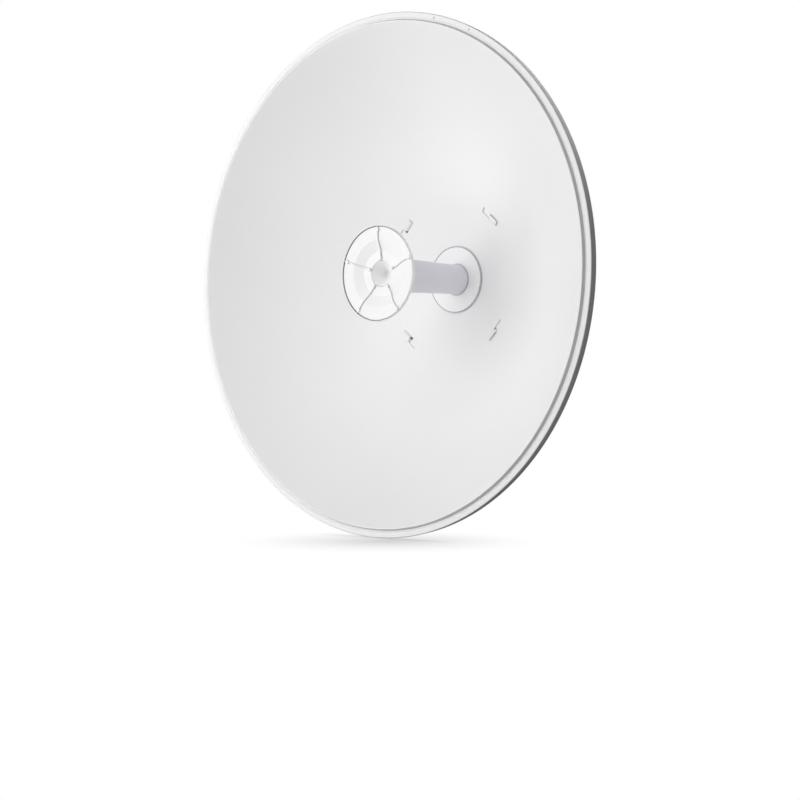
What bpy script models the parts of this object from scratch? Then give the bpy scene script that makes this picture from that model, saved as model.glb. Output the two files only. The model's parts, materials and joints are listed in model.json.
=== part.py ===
"""Prime-focus dish antenna with a ribbed sub-reflector, a hub and a mast bracket.

Metres, +Z up. The dish looks along -Y and its axis lies on the Y axis.
The origin is the middle of the flat rear face of the mast bracket.
"""

import math

import bmesh
import bpy
from mathutils import Matrix, Vector

MM = 0.001
GAP = 0.3

# Dish, in millimetres: depth is counted backwards from the front face of the rim flange.
FLANGE_Y = -285.0
FOCAL_LENGTH = 159.1
VERTEX_DEPTH = 151.3
SHEET = 2.0
RIM_RADIUS = 325.0
CENTRE_HOLE_RADIUS = 19.0
BOWL_RINGS = (19.0, 50.0, 87.0, 102.0, 117.0, 145.0, 175.0, 205.0, 235.0, 263.0, 288.0, 310.5)
RIM_FRONT = (
    (311.8, -2.0),
    (313.0, -3.0),
    (314.0, -2.7),
    (314.7, -1.6),
    (316.4, 1.4),
    (317.3, 1.2),
    (318.2, 0.1),
    (323.8, 0.0),
    (RIM_RADIUS, 1.2),
    (323.9, 10.6),
)
RIM_BACK = (
    (322.3, 10.6),
    (323.1, 2.4),
    (322.6, 1.9),
    (318.8, 2.2),
    (317.2, 3.2),
    (315.6, 3.1),
    (314.3, 1.8),
    (312.8, -0.6),
)
RIM_HOLE_RADIUS = 1.2
RIM_HOLE_CIRCLE = 320.4
RIM_HOLE_ANGLES = (16.8, 27.5)
DISH_SEGMENTS = 72

# Four hooks of the hub plate, each reaching through a slot of the bowl.
HOOK_CIRCLE = 102.3
HOOK_ANGLES = (-48.4, 41.6, 131.6, 221.6)
HOOK_WIDTH = 7.2
HOOK_OUTLINE = (
    (-14.0, -1.5),
    (1.6, -1.95),
    (1.6, 1.2),
    (15.5, 1.5),
    (15.5, 3.0),
    (-0.8, 2.7),
    (-0.8, -0.8),
    (-14.0, -0.6),
)
SLOT_SPAN = (-14.5, 2.2)
SLOT_WIDTH = 7.8

# Feed: base disc, tapered tube, cone and ribbed sub-reflector.
BASE_DISC_RADIUS = 43.4
BASE_DISC_THICKNESS = 1.6
NECK_RADIUS = 18.7
NECK_END = 170.0
TUBE_BASE_RADIUS = 19.15
TUBE_FRONT_RADIUS = 21.3
TUBE_FRONT = 44.0
TUBE_BASE = 148.25
SUB_FRONT = (
    (16.4, 15.0),
    (16.4, 5.2),
    (28.7, 5.0),
    (42.0, -0.1),
    (55.6, -1.1),
    (57.6, -1.8),
    (58.3, -2.7),
    (59.8, -2.7),
)
SUB_BACK = ((59.8, -0.4), (56.6, 0.8), (43.4, 1.9), (30.0, 7.2), (21.0, 8.0), (19.0, 15.0))
RIB_COUNT = 5
RIB_THICKNESS = 1.3
RIB_TOP = ((17.0, 3.0), (29.2, 2.8), (42.6, -2.2), (54.6, -2.6), (58.9, -2.6))
RIB_ROOT = ((58.9, -0.8), (55.6, -0.2), (41.8, 0.9), (28.9, 6.0), (17.2, 6.2))
FEED_SEGMENTS = 48

# Hub plate behind the bowl.
HUB_HOLE_RADIUS = 27.0
HUB_FLOOR = 154.0
HUB_SHEET = 3.0
HUB_RIM = (87.0, 102.0, 117.0)
HUB_BOLT_OFFSET = 37.0

# Dish bracket and mast bracket, in row coordinates.
PLATE_Y = -127.7
BRACKET_SHEET = 3.0
DISH_EAR_OUTER = 56.3
DISH_EAR_END = -36.0
MAST_EAR_OUTER = 53.0
MAST_EAR_END = -88.0
PIVOT_Y = -62.0
PIVOT_Z = -28.0
LOCK_Z = 28.0
ARC_HALF_ANGLE = 14.0
BOLT_RADIUS = 4.0
BOLT_HOLE_RADIUS = 4.3
HEX_RADIUS = 7.5
HEAD_HEIGHT = 5.3
NUT_HEIGHT = 6.5

# Mast clamp for a mast of 50 mm.
NOTCH_HALF_WIDTH = 30.0
NOTCH_REACH = 28.0
NOTCH_BOTTOM = 6.0
JAW_Z = 35.0
JAW_FRONT = 46.0
JAW_BACK = 73.0
JAW_HALF_HEIGHT = 12.0
CLAMP_BOLT_X = 41.0
CLAMP_BOLT_END = 84.0

WHITE_PAINT = ("white_paint", (0.86, 0.87, 0.88), 0.35, 0.0)
WHITE_PLASTIC = ("white_plastic", (0.83, 0.84, 0.86), 0.4, 0.0)
TUBE_PLASTIC = ("tube_plastic", (0.72, 0.73, 0.77), 0.45, 0.0)
ZINC_STEEL = ("zinc_steel", (0.58, 0.6, 0.62), 0.42, 0.9)
BOLT_STEEL = ("bolt_steel", (0.66, 0.67, 0.68), 0.3, 1.0)
NICKEL = ("nickel", (0.72, 0.69, 0.62), 0.25, 1.0)


def clear_scene():
    for item in list(bpy.data.objects):
        bpy.data.objects.remove(item, do_unlink=True)


def make_collection(name, hidden):
    group = bpy.data.collections.new(name)
    bpy.context.scene.collection.children.link(group)
    group.hide_render = hidden
    return group


def material(look):
    name, colour, roughness, metallic = look
    found = bpy.data.materials.get(name)
    if found:
        return found
    made = bpy.data.materials.new(name)
    made.use_nodes = True
    shader = made.node_tree.nodes["Principled BSDF"]
    shader.inputs["Base Color"].default_value = (*colour, 1.0)
    shader.inputs["Roughness"].default_value = roughness
    shader.inputs["Metallic"].default_value = metallic
    return made


def add_object(name, mesh_data, look, smooth_angle=None):
    """Puts a finished bmesh in the scene: a node with a look, a cutter with none."""
    bmesh.ops.recalc_face_normals(mesh_data, faces=mesh_data.faces)
    mesh = bpy.data.meshes.new(name)
    mesh_data.to_mesh(mesh)
    mesh_data.free()
    item = bpy.data.objects.new(name, mesh)
    if look is None:
        item.hide_render = True
        item.display_type = "WIRE"
        CUTTERS.objects.link(item)
        return item
    mesh.materials.append(material(look))
    if smooth_angle is not None:
        mesh.shade_smooth()
        mesh.set_sharp_from_angle(angle=math.radians(smooth_angle))
    PARTS.objects.link(item)
    return item


def lathe(name, profile, segments, look, closed):
    """Turns a profile of (radius, depth) points about the dish axis."""
    work = bmesh.new()
    rings = []
    for radius, depth in profile:
        y = (FLANGE_Y + depth) * MM
        if radius == 0.0:
            rings.append([work.verts.new((0.0, y, 0.0))])
            continue
        ring = []
        for step in range(segments):
            turn = math.tau * step / segments
            spot = (radius * math.sin(turn) * MM, y, radius * math.cos(turn) * MM)
            ring.append(work.verts.new(spot))
        rings.append(ring)
    pairs = list(zip(rings, rings[1:]))
    if closed:
        pairs.append((rings[-1], rings[0]))
    for first, second in pairs:
        for step in range(segments):
            after = (step + 1) % segments
            corners = [first[step % len(first)]]
            if len(first) > 1:
                corners.append(first[after])
            if len(second) > 1:
                corners.append(second[after])
            corners.append(second[step % len(second)])
            work.faces.new(corners)
    return add_object(name, work, look, 30.0)


def prism(name, outline, low, high, place, look):
    """Extrudes an outline of (u, v) from low to high; place turns (u, v, w) into a point."""
    work = bmesh.new()
    ends = []
    for level in (low, high):
        ends.append([work.verts.new(place(u, v, level)) for u, v in outline])
    work.faces.new(ends[0])
    work.faces.new(ends[1])
    count = len(outline)
    for index in range(count):
        after = (index + 1) % count
        work.faces.new((ends[0][index], ends[0][after], ends[1][after], ends[1][index]))
    return add_object(name, work, look)


def along_x(y, z, x):
    return Vector((x, y, z)) * MM


def along_y(x, z, y):
    return Vector((x, y, z)) * MM


def along_z(x, y, z):
    return Vector((x, y, z)) * MM


def circle(u, v, radius, count):
    spots = []
    for step in range(count):
        turn = math.tau * (step + 0.5) / count
        spots.append((u + radius * math.sin(turn), v + radius * math.cos(turn)))
    return spots


def rectangle(low_u, low_v, high_u, high_v):
    return ((low_u, low_v), (high_u, low_v), (high_u, high_v), (low_u, high_v))


def apply_boolean(item, operation, other):
    step = item.modifiers.new(operation.lower() + "_" + other.name, "BOOLEAN")
    step.operation = operation
    step.solver = "EXACT"
    step.object = other


def cut(item, *cutters):
    for cutter in cutters:
        apply_boolean(item, "DIFFERENCE", cutter)


def hexagon_ring(radius, count):
    """Points of a hexagon, as many as the round rings next to it have."""
    spots = []
    for step in range(count):
        turn = math.tau * step / count
        off_corner = (turn % (math.pi / 3.0)) - math.pi / 6.0
        reach = radius * math.cos(math.pi / 6.0) / math.cos(off_corner)
        spots.append((reach * math.cos(turn), reach * math.sin(turn)))
    return spots


def round_ring(radius, count):
    spots = []
    for step in range(count):
        turn = math.tau * step / count
        spots.append((radius * math.cos(turn), radius * math.sin(turn)))
    return spots


def loft(name, sections, origin, axis, look, closed=False, smooth_angle=35.0):
    """Joins rings of points along an axis: sections are (points, distance)."""
    frame = Vector(axis).to_track_quat("Z", "Y").to_matrix().to_4x4()
    frame = Matrix.Translation(Vector(origin) * MM) @ frame
    work = bmesh.new()
    rings = []
    for spots, distance in sections:
        rings.append([work.verts.new(frame @ (Vector((u, v, distance)) * MM)) for u, v in spots])
    count = len(rings[0])
    pairs = list(zip(rings, rings[1:]))
    if closed:
        pairs.append((rings[-1], rings[0]))
    else:
        work.faces.new(rings[0])
        work.faces.new(rings[-1])
    for first, second in pairs:
        for index in range(count):
            after = (index + 1) % count
            work.faces.new((first[index], first[after], second[after], second[index]))
    return add_object(name, work, look, smooth_angle)


def bolt(name, origin, axis, length, look=BOLT_STEEL):
    """A hexagon bolt: origin is the seat under its head, axis the way the shank points."""
    sides = 12
    sections = (
        (hexagon_ring(HEX_RADIUS - 0.8, sides), -HEAD_HEIGHT),
        (hexagon_ring(HEX_RADIUS, sides), -HEAD_HEIGHT + 0.6),
        (hexagon_ring(HEX_RADIUS, sides), 0.0),
        (round_ring(BOLT_RADIUS, sides), 0.0),
        (round_ring(BOLT_RADIUS, sides), length - 0.8),
        (round_ring(BOLT_RADIUS - 0.8, sides), length),
    )
    loft(name, sections, origin, axis, look)


def nut(name, origin, axis, look=BOLT_STEEL):
    """A hexagon nut: origin is the middle of its seat, axis points away from the seat."""
    sides = 12
    bore = BOLT_HOLE_RADIUS
    sections = (
        (round_ring(bore, sides), 0.0),
        (hexagon_ring(HEX_RADIUS, sides), 0.0),
        (hexagon_ring(HEX_RADIUS, sides), NUT_HEIGHT - 0.6),
        (hexagon_ring(HEX_RADIUS - 0.8, sides), NUT_HEIGHT),
        (round_ring(bore, sides), NUT_HEIGHT),
    )
    loft(name, sections, origin, axis, look, closed=True)


def bowl_depth(radius):
    return VERTEX_DEPTH - radius * radius / (4.0 * FOCAL_LENGTH)


def bowl_slope(radius):
    return math.atan(radius / (2.0 * FOCAL_LENGTH))


def behind_bowl(radius, offset):
    """Depth at this radius of the surface that lies this far behind the front of the bowl."""
    return bowl_depth(radius) + offset / math.cos(bowl_slope(radius))


def bowl_frame(degrees):
    """Placing at a hook: u runs clockwise seen from the front, w out of the bowl's face."""
    turn = math.radians(degrees)
    tilt = bowl_slope(HOOK_CIRCLE)
    centre = Vector(
        (
            HOOK_CIRCLE * math.sin(turn),
            FLANGE_Y + bowl_depth(HOOK_CIRCLE),
            HOOK_CIRCLE * math.cos(turn),
        )
    )
    outward = Vector((math.sin(turn), 0.0, math.cos(turn)))
    clockwise = Vector((math.cos(turn), 0.0, -math.sin(turn)))
    up_slope = outward * math.cos(tilt) + Vector((0.0, -math.sin(tilt), 0.0))
    normal = outward * -math.sin(tilt) + Vector((0.0, -math.cos(tilt), 0.0))

    def place(u, v, w):
        return (centre + clockwise * u + normal * v + up_slope * w) * MM

    return place


def build_reflector():
    profile = [(radius, bowl_depth(radius)) for radius in BOWL_RINGS]
    profile += list(RIM_FRONT) + list(RIM_BACK)
    for radius in reversed(BOWL_RINGS[1:]):
        tilt = bowl_slope(radius)
        profile.append((radius + SHEET * math.sin(tilt), bowl_depth(radius) + SHEET * math.cos(tilt)))
    profile.append((BOWL_RINGS[0], behind_bowl(BOWL_RINGS[0], SHEET)))
    dish = lathe("reflector", profile, DISH_SEGMENTS, WHITE_PAINT, closed=True)
    for index, degrees in enumerate(HOOK_ANGLES):
        place = bowl_frame(degrees)
        outline = rectangle(SLOT_SPAN[0], -8.0, SLOT_SPAN[1], 8.0)
        half = SLOT_WIDTH / 2.0
        cut(dish, prism(f"slot_cutter_{index + 1}", outline, -half, half, place, None))
    for index, degrees in enumerate(RIM_HOLE_ANGLES):
        turn = math.radians(degrees)
        spot = (RIM_HOLE_CIRCLE * math.sin(turn), RIM_HOLE_CIRCLE * math.cos(turn))
        outline = circle(*spot, RIM_HOLE_RADIUS, 12)
        name = f"rim_hole_cutter_{index + 1}"
        cut(dish, prism(name, outline, FLANGE_Y - 3.0, FLANGE_Y + 5.0, along_y, None))


def build_hub_plate():
    front = [(HUB_HOLE_RADIUS, HUB_FLOOR), (76.0, HUB_FLOOR)]
    front += [(radius, behind_bowl(radius, SHEET + GAP)) for radius in HUB_RIM]
    edge = front[-1][1]
    lip = [(119.0, edge + 1.4), (119.0, edge + 11.0), (116.4, edge + 11.0), (116.4, edge + 4.2)]
    back = [(102.0, behind_bowl(102.0, SHEET + GAP + HUB_SHEET))]
    back.append((89.4, behind_bowl(89.4, SHEET + GAP + HUB_SHEET)))
    back += [(77.8, HUB_FLOOR + HUB_SHEET), (HUB_HOLE_RADIUS, HUB_FLOOR + HUB_SHEET)]
    plate = lathe("hub_plate", front + lip + back, DISH_SEGMENTS, WHITE_PAINT, closed=True)
    low = FLANGE_Y + HUB_FLOOR - 5.0
    for index, (x, z) in enumerate(hub_bolt_spots()):
        outline = circle(x, z, BOLT_HOLE_RADIUS, 16)
        cut(plate, prism(f"hub_hole_cutter_{index + 1}", outline, low, low + 14.0, along_y, None))
    for index, degrees in enumerate(HOOK_ANGLES):
        place = bowl_frame(degrees)
        half = HOOK_WIDTH / 2.0
        prism(f"hub_hook_{index + 1}", HOOK_OUTLINE, -half, half, place, WHITE_PAINT)


def hub_bolt_spots():
    step = HUB_BOLT_OFFSET
    return ((-step, step), (step, step), (step, -step), (-step, -step))


def build_feed():
    reach = GAP + BASE_DISC_THICKNESS
    disc = [(0.0, behind_bowl(0.0, -reach)), (24.0, behind_bowl(24.0, -reach))]
    disc += [(BASE_DISC_RADIUS - 0.5, behind_bowl(BASE_DISC_RADIUS, -reach))]
    disc += [(BASE_DISC_RADIUS, behind_bowl(BASE_DISC_RADIUS, -reach + 0.4))]
    disc += [(BASE_DISC_RADIUS, behind_bowl(BASE_DISC_RADIUS, -GAP))]
    disc += [(NECK_RADIUS, behind_bowl(NECK_RADIUS, -GAP)), (NECK_RADIUS, NECK_END), (0.0, NECK_END)]
    lathe("feed_base", disc, FEED_SEGMENTS, WHITE_PLASTIC, closed=False)
    tube = (
        (0.0, TUBE_FRONT),
        (TUBE_FRONT_RADIUS, TUBE_FRONT),
        (TUBE_BASE_RADIUS, 138.0),
        (TUBE_BASE_RADIUS + 0.3, 146.0),
        (TUBE_BASE_RADIUS + 0.9, 147.6),
        (TUBE_BASE_RADIUS + 0.9, TUBE_BASE),
        (0.0, TUBE_BASE),
    )
    lathe("feed_tube", tube, FEED_SEGMENTS, TUBE_PLASTIC, closed=False)
    cone = (
        (0.0, 19.0),
        (16.6, 19.0),
        (16.6, 15.5),
        (20.4, 15.4),
        (21.9, 8.4),
        (30.4, 7.6),
        (43.0, 2.5),
        (45.0, 3.2),
        (24.0, 35.0),
        (22.4, TUBE_FRONT - GAP),
        (0.0, TUBE_FRONT - GAP),
    )
    lathe("feed_cone", cone, FEED_SEGMENTS, WHITE_PLASTIC, closed=False)
    nose = ((0.0, 17.3), (1.5, 17.1), (15.3, 5.9), (16.1, 5.9), (16.1, 18.7), (0.0, 18.7))
    lathe("feed_nose", nose, FEED_SEGMENTS, WHITE_PLASTIC, closed=False)
    ring = ((19.1, 153.05), (26.4, 153.05), (26.4, 161.0), (25.4, 162.0), (19.1, 162.0))
    lathe("feed_lock_ring", ring, FEED_SEGMENTS, WHITE_PLASTIC, closed=True)
    cap = (
        (0.0, NECK_END + GAP),
        (24.0, NECK_END + GAP),
        (24.0, 184.0),
        (22.5, 186.0),
        (0.0, 186.0),
    )
    lathe("feed_rear_cap", cap, 36, WHITE_PLASTIC, closed=False)
    sides = 18
    for side, x in (("left", -11.0), ("right", 11.0)):
        sections = (
            (hexagon_ring(8.6, sides), 0.0),
            (hexagon_ring(8.6, sides), 4.0),
            (round_ring(6.2, sides), 4.0),
            (round_ring(6.2, sides), 16.0),
            (round_ring(5.6, sides), 17.0),
            (round_ring(4.2, sides), 17.0),
            (round_ring(4.2, sides), 11.0),
        )
        loft(f"signal_socket_{side}", sections, (x, FLANGE_Y + 186.3, 0.0), (0, 1, 0), NICKEL)


def build_sub_reflector():
    disc = lathe("sub_reflector", SUB_FRONT + SUB_BACK, FEED_SEGMENTS, WHITE_PLASTIC, closed=True)
    outline = RIB_TOP + RIB_ROOT
    for index in range(RIB_COUNT):
        turn = math.tau * index / RIB_COUNT

        def place(radius, depth, side, turn=turn):
            x = radius * math.sin(turn) + side * math.cos(turn)
            z = radius * math.cos(turn) - side * math.sin(turn)
            return Vector((x, FLANGE_Y + depth, z)) * MM

        half = RIB_THICKNESS / 2.0
        rib = prism(f"rib_shape_{index + 1}", outline, -half, half, place, None)
        apply_boolean(disc, "UNION", rib)


def channel_outline(half_width, near, far, sheet):
    """A U seen from above: its web lies at near and its legs reach to far."""
    inner = half_width - sheet
    step = math.copysign(sheet, far - near)
    return (
        (-half_width, near),
        (half_width, near),
        (half_width, far),
        (inner, far),
        (inner, near + step),
        (-inner, near + step),
        (-inner, far),
        (-half_width, far),
    )


def side_hole(name, y, z, reach):
    return prism(name, circle(y, z, BOLT_HOLE_RADIUS, 16), -reach, reach, along_x, None)


def build_dish_bracket():
    outline = channel_outline(DISH_EAR_OUTER, PLATE_Y, DISH_EAR_END, BRACKET_SHEET)
    item = prism("dish_bracket", outline, -60.0, 60.0, along_z, ZINC_STEEL)
    side = (
        (PLATE_Y - 5.0, -52.0),
        (PLATE_Y + 22.0, -52.0),
        (DISH_EAR_END - 12.0, -42.0),
        (DISH_EAR_END, -32.0),
        (DISH_EAR_END, 36.0),
        (DISH_EAR_END - 10.0, 46.0),
        (PLATE_Y + 22.0, 52.0),
        (PLATE_Y - 5.0, 52.0),
    )
    apply_boolean(item, "INTERSECT", prism("dish_bracket_side", side, -70.0, 70.0, along_x, None))
    low = PLATE_Y - 3.0
    hole = prism("feed_passage_cutter", circle(0.0, 0.0, 30.0, 32), low, low + 9.0, along_y, None)
    cut(item, hole, side_hole("pivot_hole_cutter", PIVOT_Y, PIVOT_Z, 70.0))
    for index, (x, z) in enumerate(hub_bolt_spots()):
        outline = circle(x, z, BOLT_HOLE_RADIUS, 16)
        name = f"plate_hole_cutter_{index + 1}"
        cut(item, prism(name, outline, low, low + 9.0, along_y, None))
    arc = []
    radius = LOCK_Z - PIVOT_Z
    steps = 8
    for reach, order in ((radius + 4.4, range(steps + 1)), (radius - 4.4, range(steps, -1, -1))):
        for step in order:
            turn = math.radians(ARC_HALF_ANGLE * (2.0 * step / steps - 1.0))
            arc.append((PIVOT_Y + reach * math.sin(turn), PIVOT_Z + reach * math.cos(turn)))
    cut(item, prism("arc_slot_cutter", arc, -70.0, 70.0, along_x, None))


def build_mast_bracket():
    outline = channel_outline(MAST_EAR_OUTER, 0.0, MAST_EAR_END, BRACKET_SHEET)
    item = prism("mast_bracket", outline, -60.0, 60.0, along_z, ZINC_STEEL)
    side = (
        (5.0, -55.0),
        (-22.0, -55.0),
        (MAST_EAR_END + 8.0, -44.0),
        (MAST_EAR_END, -36.0),
        (MAST_EAR_END, 36.0),
        (MAST_EAR_END + 8.0, 44.0),
        (-22.0, 55.0),
        (5.0, 55.0),
    )
    apply_boolean(item, "INTERSECT", prism("mast_bracket_side", side, -70.0, 70.0, along_x, None))
    notch = (
        (-MAST_EAR_OUTER, -BRACKET_SHEET),
        (MAST_EAR_OUTER, -BRACKET_SHEET),
        (MAST_EAR_OUTER, 14.0),
        (40.0, NOTCH_REACH),
        (NOTCH_HALF_WIDTH, NOTCH_REACH),
        (0.0, NOTCH_BOTTOM),
        (-NOTCH_HALF_WIDTH, NOTCH_REACH),
        (-40.0, NOTCH_REACH),
        (-MAST_EAR_OUTER, 14.0),
    )
    for name, low in (("upper", 55.0 - BRACKET_SHEET), ("lower", -55.0)):
        flange = prism(f"{name}_notch_flange", notch, low, low + BRACKET_SHEET, along_z, None)
        apply_boolean(item, "UNION", flange)
    cut(item, side_hole("mast_pivot_hole_cutter", PIVOT_Y, PIVOT_Z, 70.0))
    cut(item, side_hole("mast_lock_hole_cutter", PIVOT_Y, LOCK_Z, 70.0))
    for index, (x, z) in enumerate(clamp_bolt_spots()):
        outline = circle(x, z, BOLT_HOLE_RADIUS, 16)
        cut(item, prism(f"clamp_hole_cutter_{index + 1}", outline, -8.0, 5.0, along_y, None))


def clamp_bolt_spots():
    return (
        (-CLAMP_BOLT_X, JAW_Z),
        (CLAMP_BOLT_X, JAW_Z),
        (CLAMP_BOLT_X, -JAW_Z),
        (-CLAMP_BOLT_X, -JAW_Z),
    )


def build_jaw(name, middle):
    half = JAW_HALF_HEIGHT
    inner = half - BRACKET_SHEET
    web = JAW_BACK - BRACKET_SHEET
    outline = (
        (JAW_BACK, middle - half),
        (JAW_BACK, middle + half),
        (JAW_FRONT, middle + half),
        (JAW_FRONT, middle + inner),
        (web, middle + inner),
        (web, middle - inner),
        (JAW_FRONT, middle - inner),
        (JAW_FRONT, middle - half),
    )
    item = prism(name, outline, -52.0, 52.0, along_x, ZINC_STEEL)
    depth = NOTCH_REACH - NOTCH_BOTTOM
    notch = (
        (-NOTCH_HALF_WIDTH - 3.0, JAW_FRONT - 2.2),
        (NOTCH_HALF_WIDTH + 3.0, JAW_FRONT - 2.2),
        (0.0, JAW_FRONT + depth),
    )
    low = middle - half - 3.0
    high = middle + half + 3.0
    cut(item, prism(f"{name}_notch_cutter", notch, low, high, along_z, None))
    for side, x in (("left", -CLAMP_BOLT_X), ("right", CLAMP_BOLT_X)):
        outline = circle(x, middle, BOLT_HOLE_RADIUS, 16)
        cutter = prism(f"{name}_{side}_cutter", outline, web - 3.0, JAW_BACK + 3.0, along_y, None)
        cut(item, cutter)


def build_fasteners():
    seat = PLATE_Y + BRACKET_SHEET + GAP
    for index, (x, z) in enumerate(hub_bolt_spots()):
        bolt(f"hub_bolt_{index + 1}", (x, seat, z), (0, -1, 0), 9.5)
    for side, way in (("left", -1), ("right", 1)):
        seat = way * (DISH_EAR_OUTER + GAP)
        inner = way * (MAST_EAR_OUTER - BRACKET_SHEET - GAP)
        for kind, z in (("pivot", PIVOT_Z), ("lock", LOCK_Z)):
            bolt(f"{kind}_bolt_{side}", (seat, PIVOT_Y, z), (-way, 0, 0), 16.0)
            nut(f"{kind}_nut_{side}", (inner, PIVOT_Y, z), (-way, 0, 0))
    seat = -BRACKET_SHEET - GAP
    for index, (x, z) in enumerate(clamp_bolt_spots()):
        bolt(f"clamp_bolt_{index + 1}", (x, seat, z), (0, 1, 0), CLAMP_BOLT_END - seat)
        nut(f"clamp_nut_{index + 1}", (x, JAW_BACK + GAP, z), (0, 1, 0))


clear_scene()
PARTS = make_collection("dish_antenna", False)
CUTTERS = make_collection("cutters", True)
build_reflector()
build_hub_plate()
build_feed()
build_sub_reflector()
build_dish_bracket()
build_mast_bracket()
build_jaw("clamp_jaw_upper", JAW_Z)
build_jaw("clamp_jaw_lower", -JAW_Z)
build_fasteners()
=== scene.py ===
"""Looks of a prime-focus dish antenna: fine meshes, finishes, a studio and a camera.

Lengths are in millimetres unless a property says otherwise. The dish looks along -Y.
A depth is counted backwards from the front face of the rim flange.
"""

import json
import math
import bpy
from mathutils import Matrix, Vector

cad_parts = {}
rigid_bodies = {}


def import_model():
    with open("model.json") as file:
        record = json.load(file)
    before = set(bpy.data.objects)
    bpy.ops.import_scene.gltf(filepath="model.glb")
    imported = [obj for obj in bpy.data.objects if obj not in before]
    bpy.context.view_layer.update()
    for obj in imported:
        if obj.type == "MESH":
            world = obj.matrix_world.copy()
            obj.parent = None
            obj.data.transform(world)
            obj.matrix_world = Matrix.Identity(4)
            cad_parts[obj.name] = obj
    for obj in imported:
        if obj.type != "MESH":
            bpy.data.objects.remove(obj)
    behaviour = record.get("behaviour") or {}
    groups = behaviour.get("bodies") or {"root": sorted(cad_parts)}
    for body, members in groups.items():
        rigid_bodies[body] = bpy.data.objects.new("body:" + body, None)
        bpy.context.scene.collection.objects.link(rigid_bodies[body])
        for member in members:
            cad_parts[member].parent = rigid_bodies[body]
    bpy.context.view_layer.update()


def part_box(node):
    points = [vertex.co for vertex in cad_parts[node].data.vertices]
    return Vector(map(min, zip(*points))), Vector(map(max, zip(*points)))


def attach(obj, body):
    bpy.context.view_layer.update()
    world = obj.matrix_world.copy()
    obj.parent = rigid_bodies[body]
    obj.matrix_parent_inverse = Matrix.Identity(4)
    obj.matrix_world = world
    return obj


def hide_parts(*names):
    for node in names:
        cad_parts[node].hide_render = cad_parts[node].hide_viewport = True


bl_info = {
    "name": "Dish Antenna Looks",
    "version": (1, 0, 0),
    "blender": (4, 5, 0),
    "location": "View3D > Sidebar > Dish",
    "description": "Dresses the plain solids of a mast-mounted dish antenna",
    "category": "Add Mesh",
}

import bmesh
import bpy
from bpy.props import FloatProperty, FloatVectorProperty, IntProperty, PointerProperty
from mathutils import Matrix, Vector

for leftover in list(bpy.data.objects):
    bpy.data.objects.remove(leftover, do_unlink=True)

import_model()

MM = 0.001

# Gap between the plain solids, what is left of it here, how far a cutter reaches past the
# brackets, and half the height of a folded channel before it is cut to shape.
GAP = 0.3
TOUCH = 0.02
FAR = 70.0
FOLD_SPAN = 60.0

# Rim, from the plain solid and the height of its crest over the flange.
CREST_HEIGHT = 3.0
RIM_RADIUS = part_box("reflector")[1].x / MM
FLANGE_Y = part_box("reflector")[0].y / MM + CREST_HEIGHT

# Bowl of the reflector.
FOCAL_LENGTH = 159.1
VERTEX_DEPTH = 151.3
SHEET = 2.0
CENTRE_HOLE_RADIUS = 19.0
BOWL_EDGE = 310.4
BOWL_RINGS = 52
RIM_DEPTH = 10.6
RIM_HOLE_RADIUS = 1.2
RIM_HOLE_CIRCLE = 320.4
RIM_HOLE_ANGLES = (16.8, 27.5)

# Hooks of the hub plate in the slots of the bowl. A span runs clockwise from the middle.
HOOK_CIRCLE = 102.3
HOOK_ANGLES = (-48.4, 41.6, 131.6, 221.6)
HOOK_WIDTH = 7.2
ROLL_REACH = 6.0
SLOT_SPAN = (-14.5, 2.2)
SLOT_WIDTH = 7.8
SLOT_CORNER = 0.8
NOTCH_SPAN = (-1.6, 1.6)
NOTCH_INNER = -0.9

# Feed.
BASE_DISC_RADIUS = 43.4
BASE_DISC_THICKNESS = 1.6
NECK_RADIUS = 18.7
NECK_END = 170.0
GRIP_INNER = 20.0
LOCK_RING_RADIUS = 26.4
REAR_CAP_RADIUS = 24.0
REAR_CAP_END = 186.0
TUBE_BASE_RADIUS = 19.15
TUBE_FRONT_RADIUS = 21.3
TUBE_FRONT = 44.0
TUBE_BASE = 148.25
TUBE_SEAM_RADIUS = TUBE_BASE_RADIUS + 0.9
TUBE_SEAM = 0.45
TURNED_STEPS = 144
RIB_COUNT = 5
RIB_THICKNESS = 1.3
RIB_EDGE = 0.25

# Bosses of a rib: radius of the middle, depth in front and behind, and size.
BOSSES = ((54.6, -2.8, -0.4, 2.6), (20.0, 2.6, 6.2, 2.1))

# Signal sockets on the rear cap.
SOCKET_X = 11.0
SOCKET_START = 186.3

# Hub plate.
HUB_HOLE_RADIUS = 27.0
HUB_FLOOR = 154.0
HUB_SHEET = 3.0
HUB_RINGS = (95.0, 102.0, 109.0)
HUB_RIM = 117.0
HUB_BOLT_OFFSET = 37.0

# Brackets and clamp.
PLATE_Y = -127.7
BRACKET_SHEET = 3.0
DISH_EAR_OUTER = 56.3
DISH_EAR_END = -36.0
CABLE_HOLE_RADIUS = 30.0
MAST_EAR_OUTER = 53.0
MAST_EAR_END = -88.0
MAST_HALF_HEIGHT = 55.0
PIVOT_Y = -62.0
PIVOT_Z = -28.0
LOCK_Z = 28.0
ARC_HALF_ANGLE = 14.0
SCALE_STEP = 2.0
SCALE_DEPTH = 0.35
NOTCH_HALF_WIDTH = 30.0
NOTCH_REACH = 28.0
NOTCH_BOTTOM = 6.0
NOTCH_TEETH = 10
TOOTH_DEPTH = 1.1
JAW_Z = 35.0
JAW_FRONT = 46.0
JAW_BACK = 73.0
JAW_HALF_HEIGHT = 12.0
JAW_HALF_WIDTH = 52.0

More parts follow.
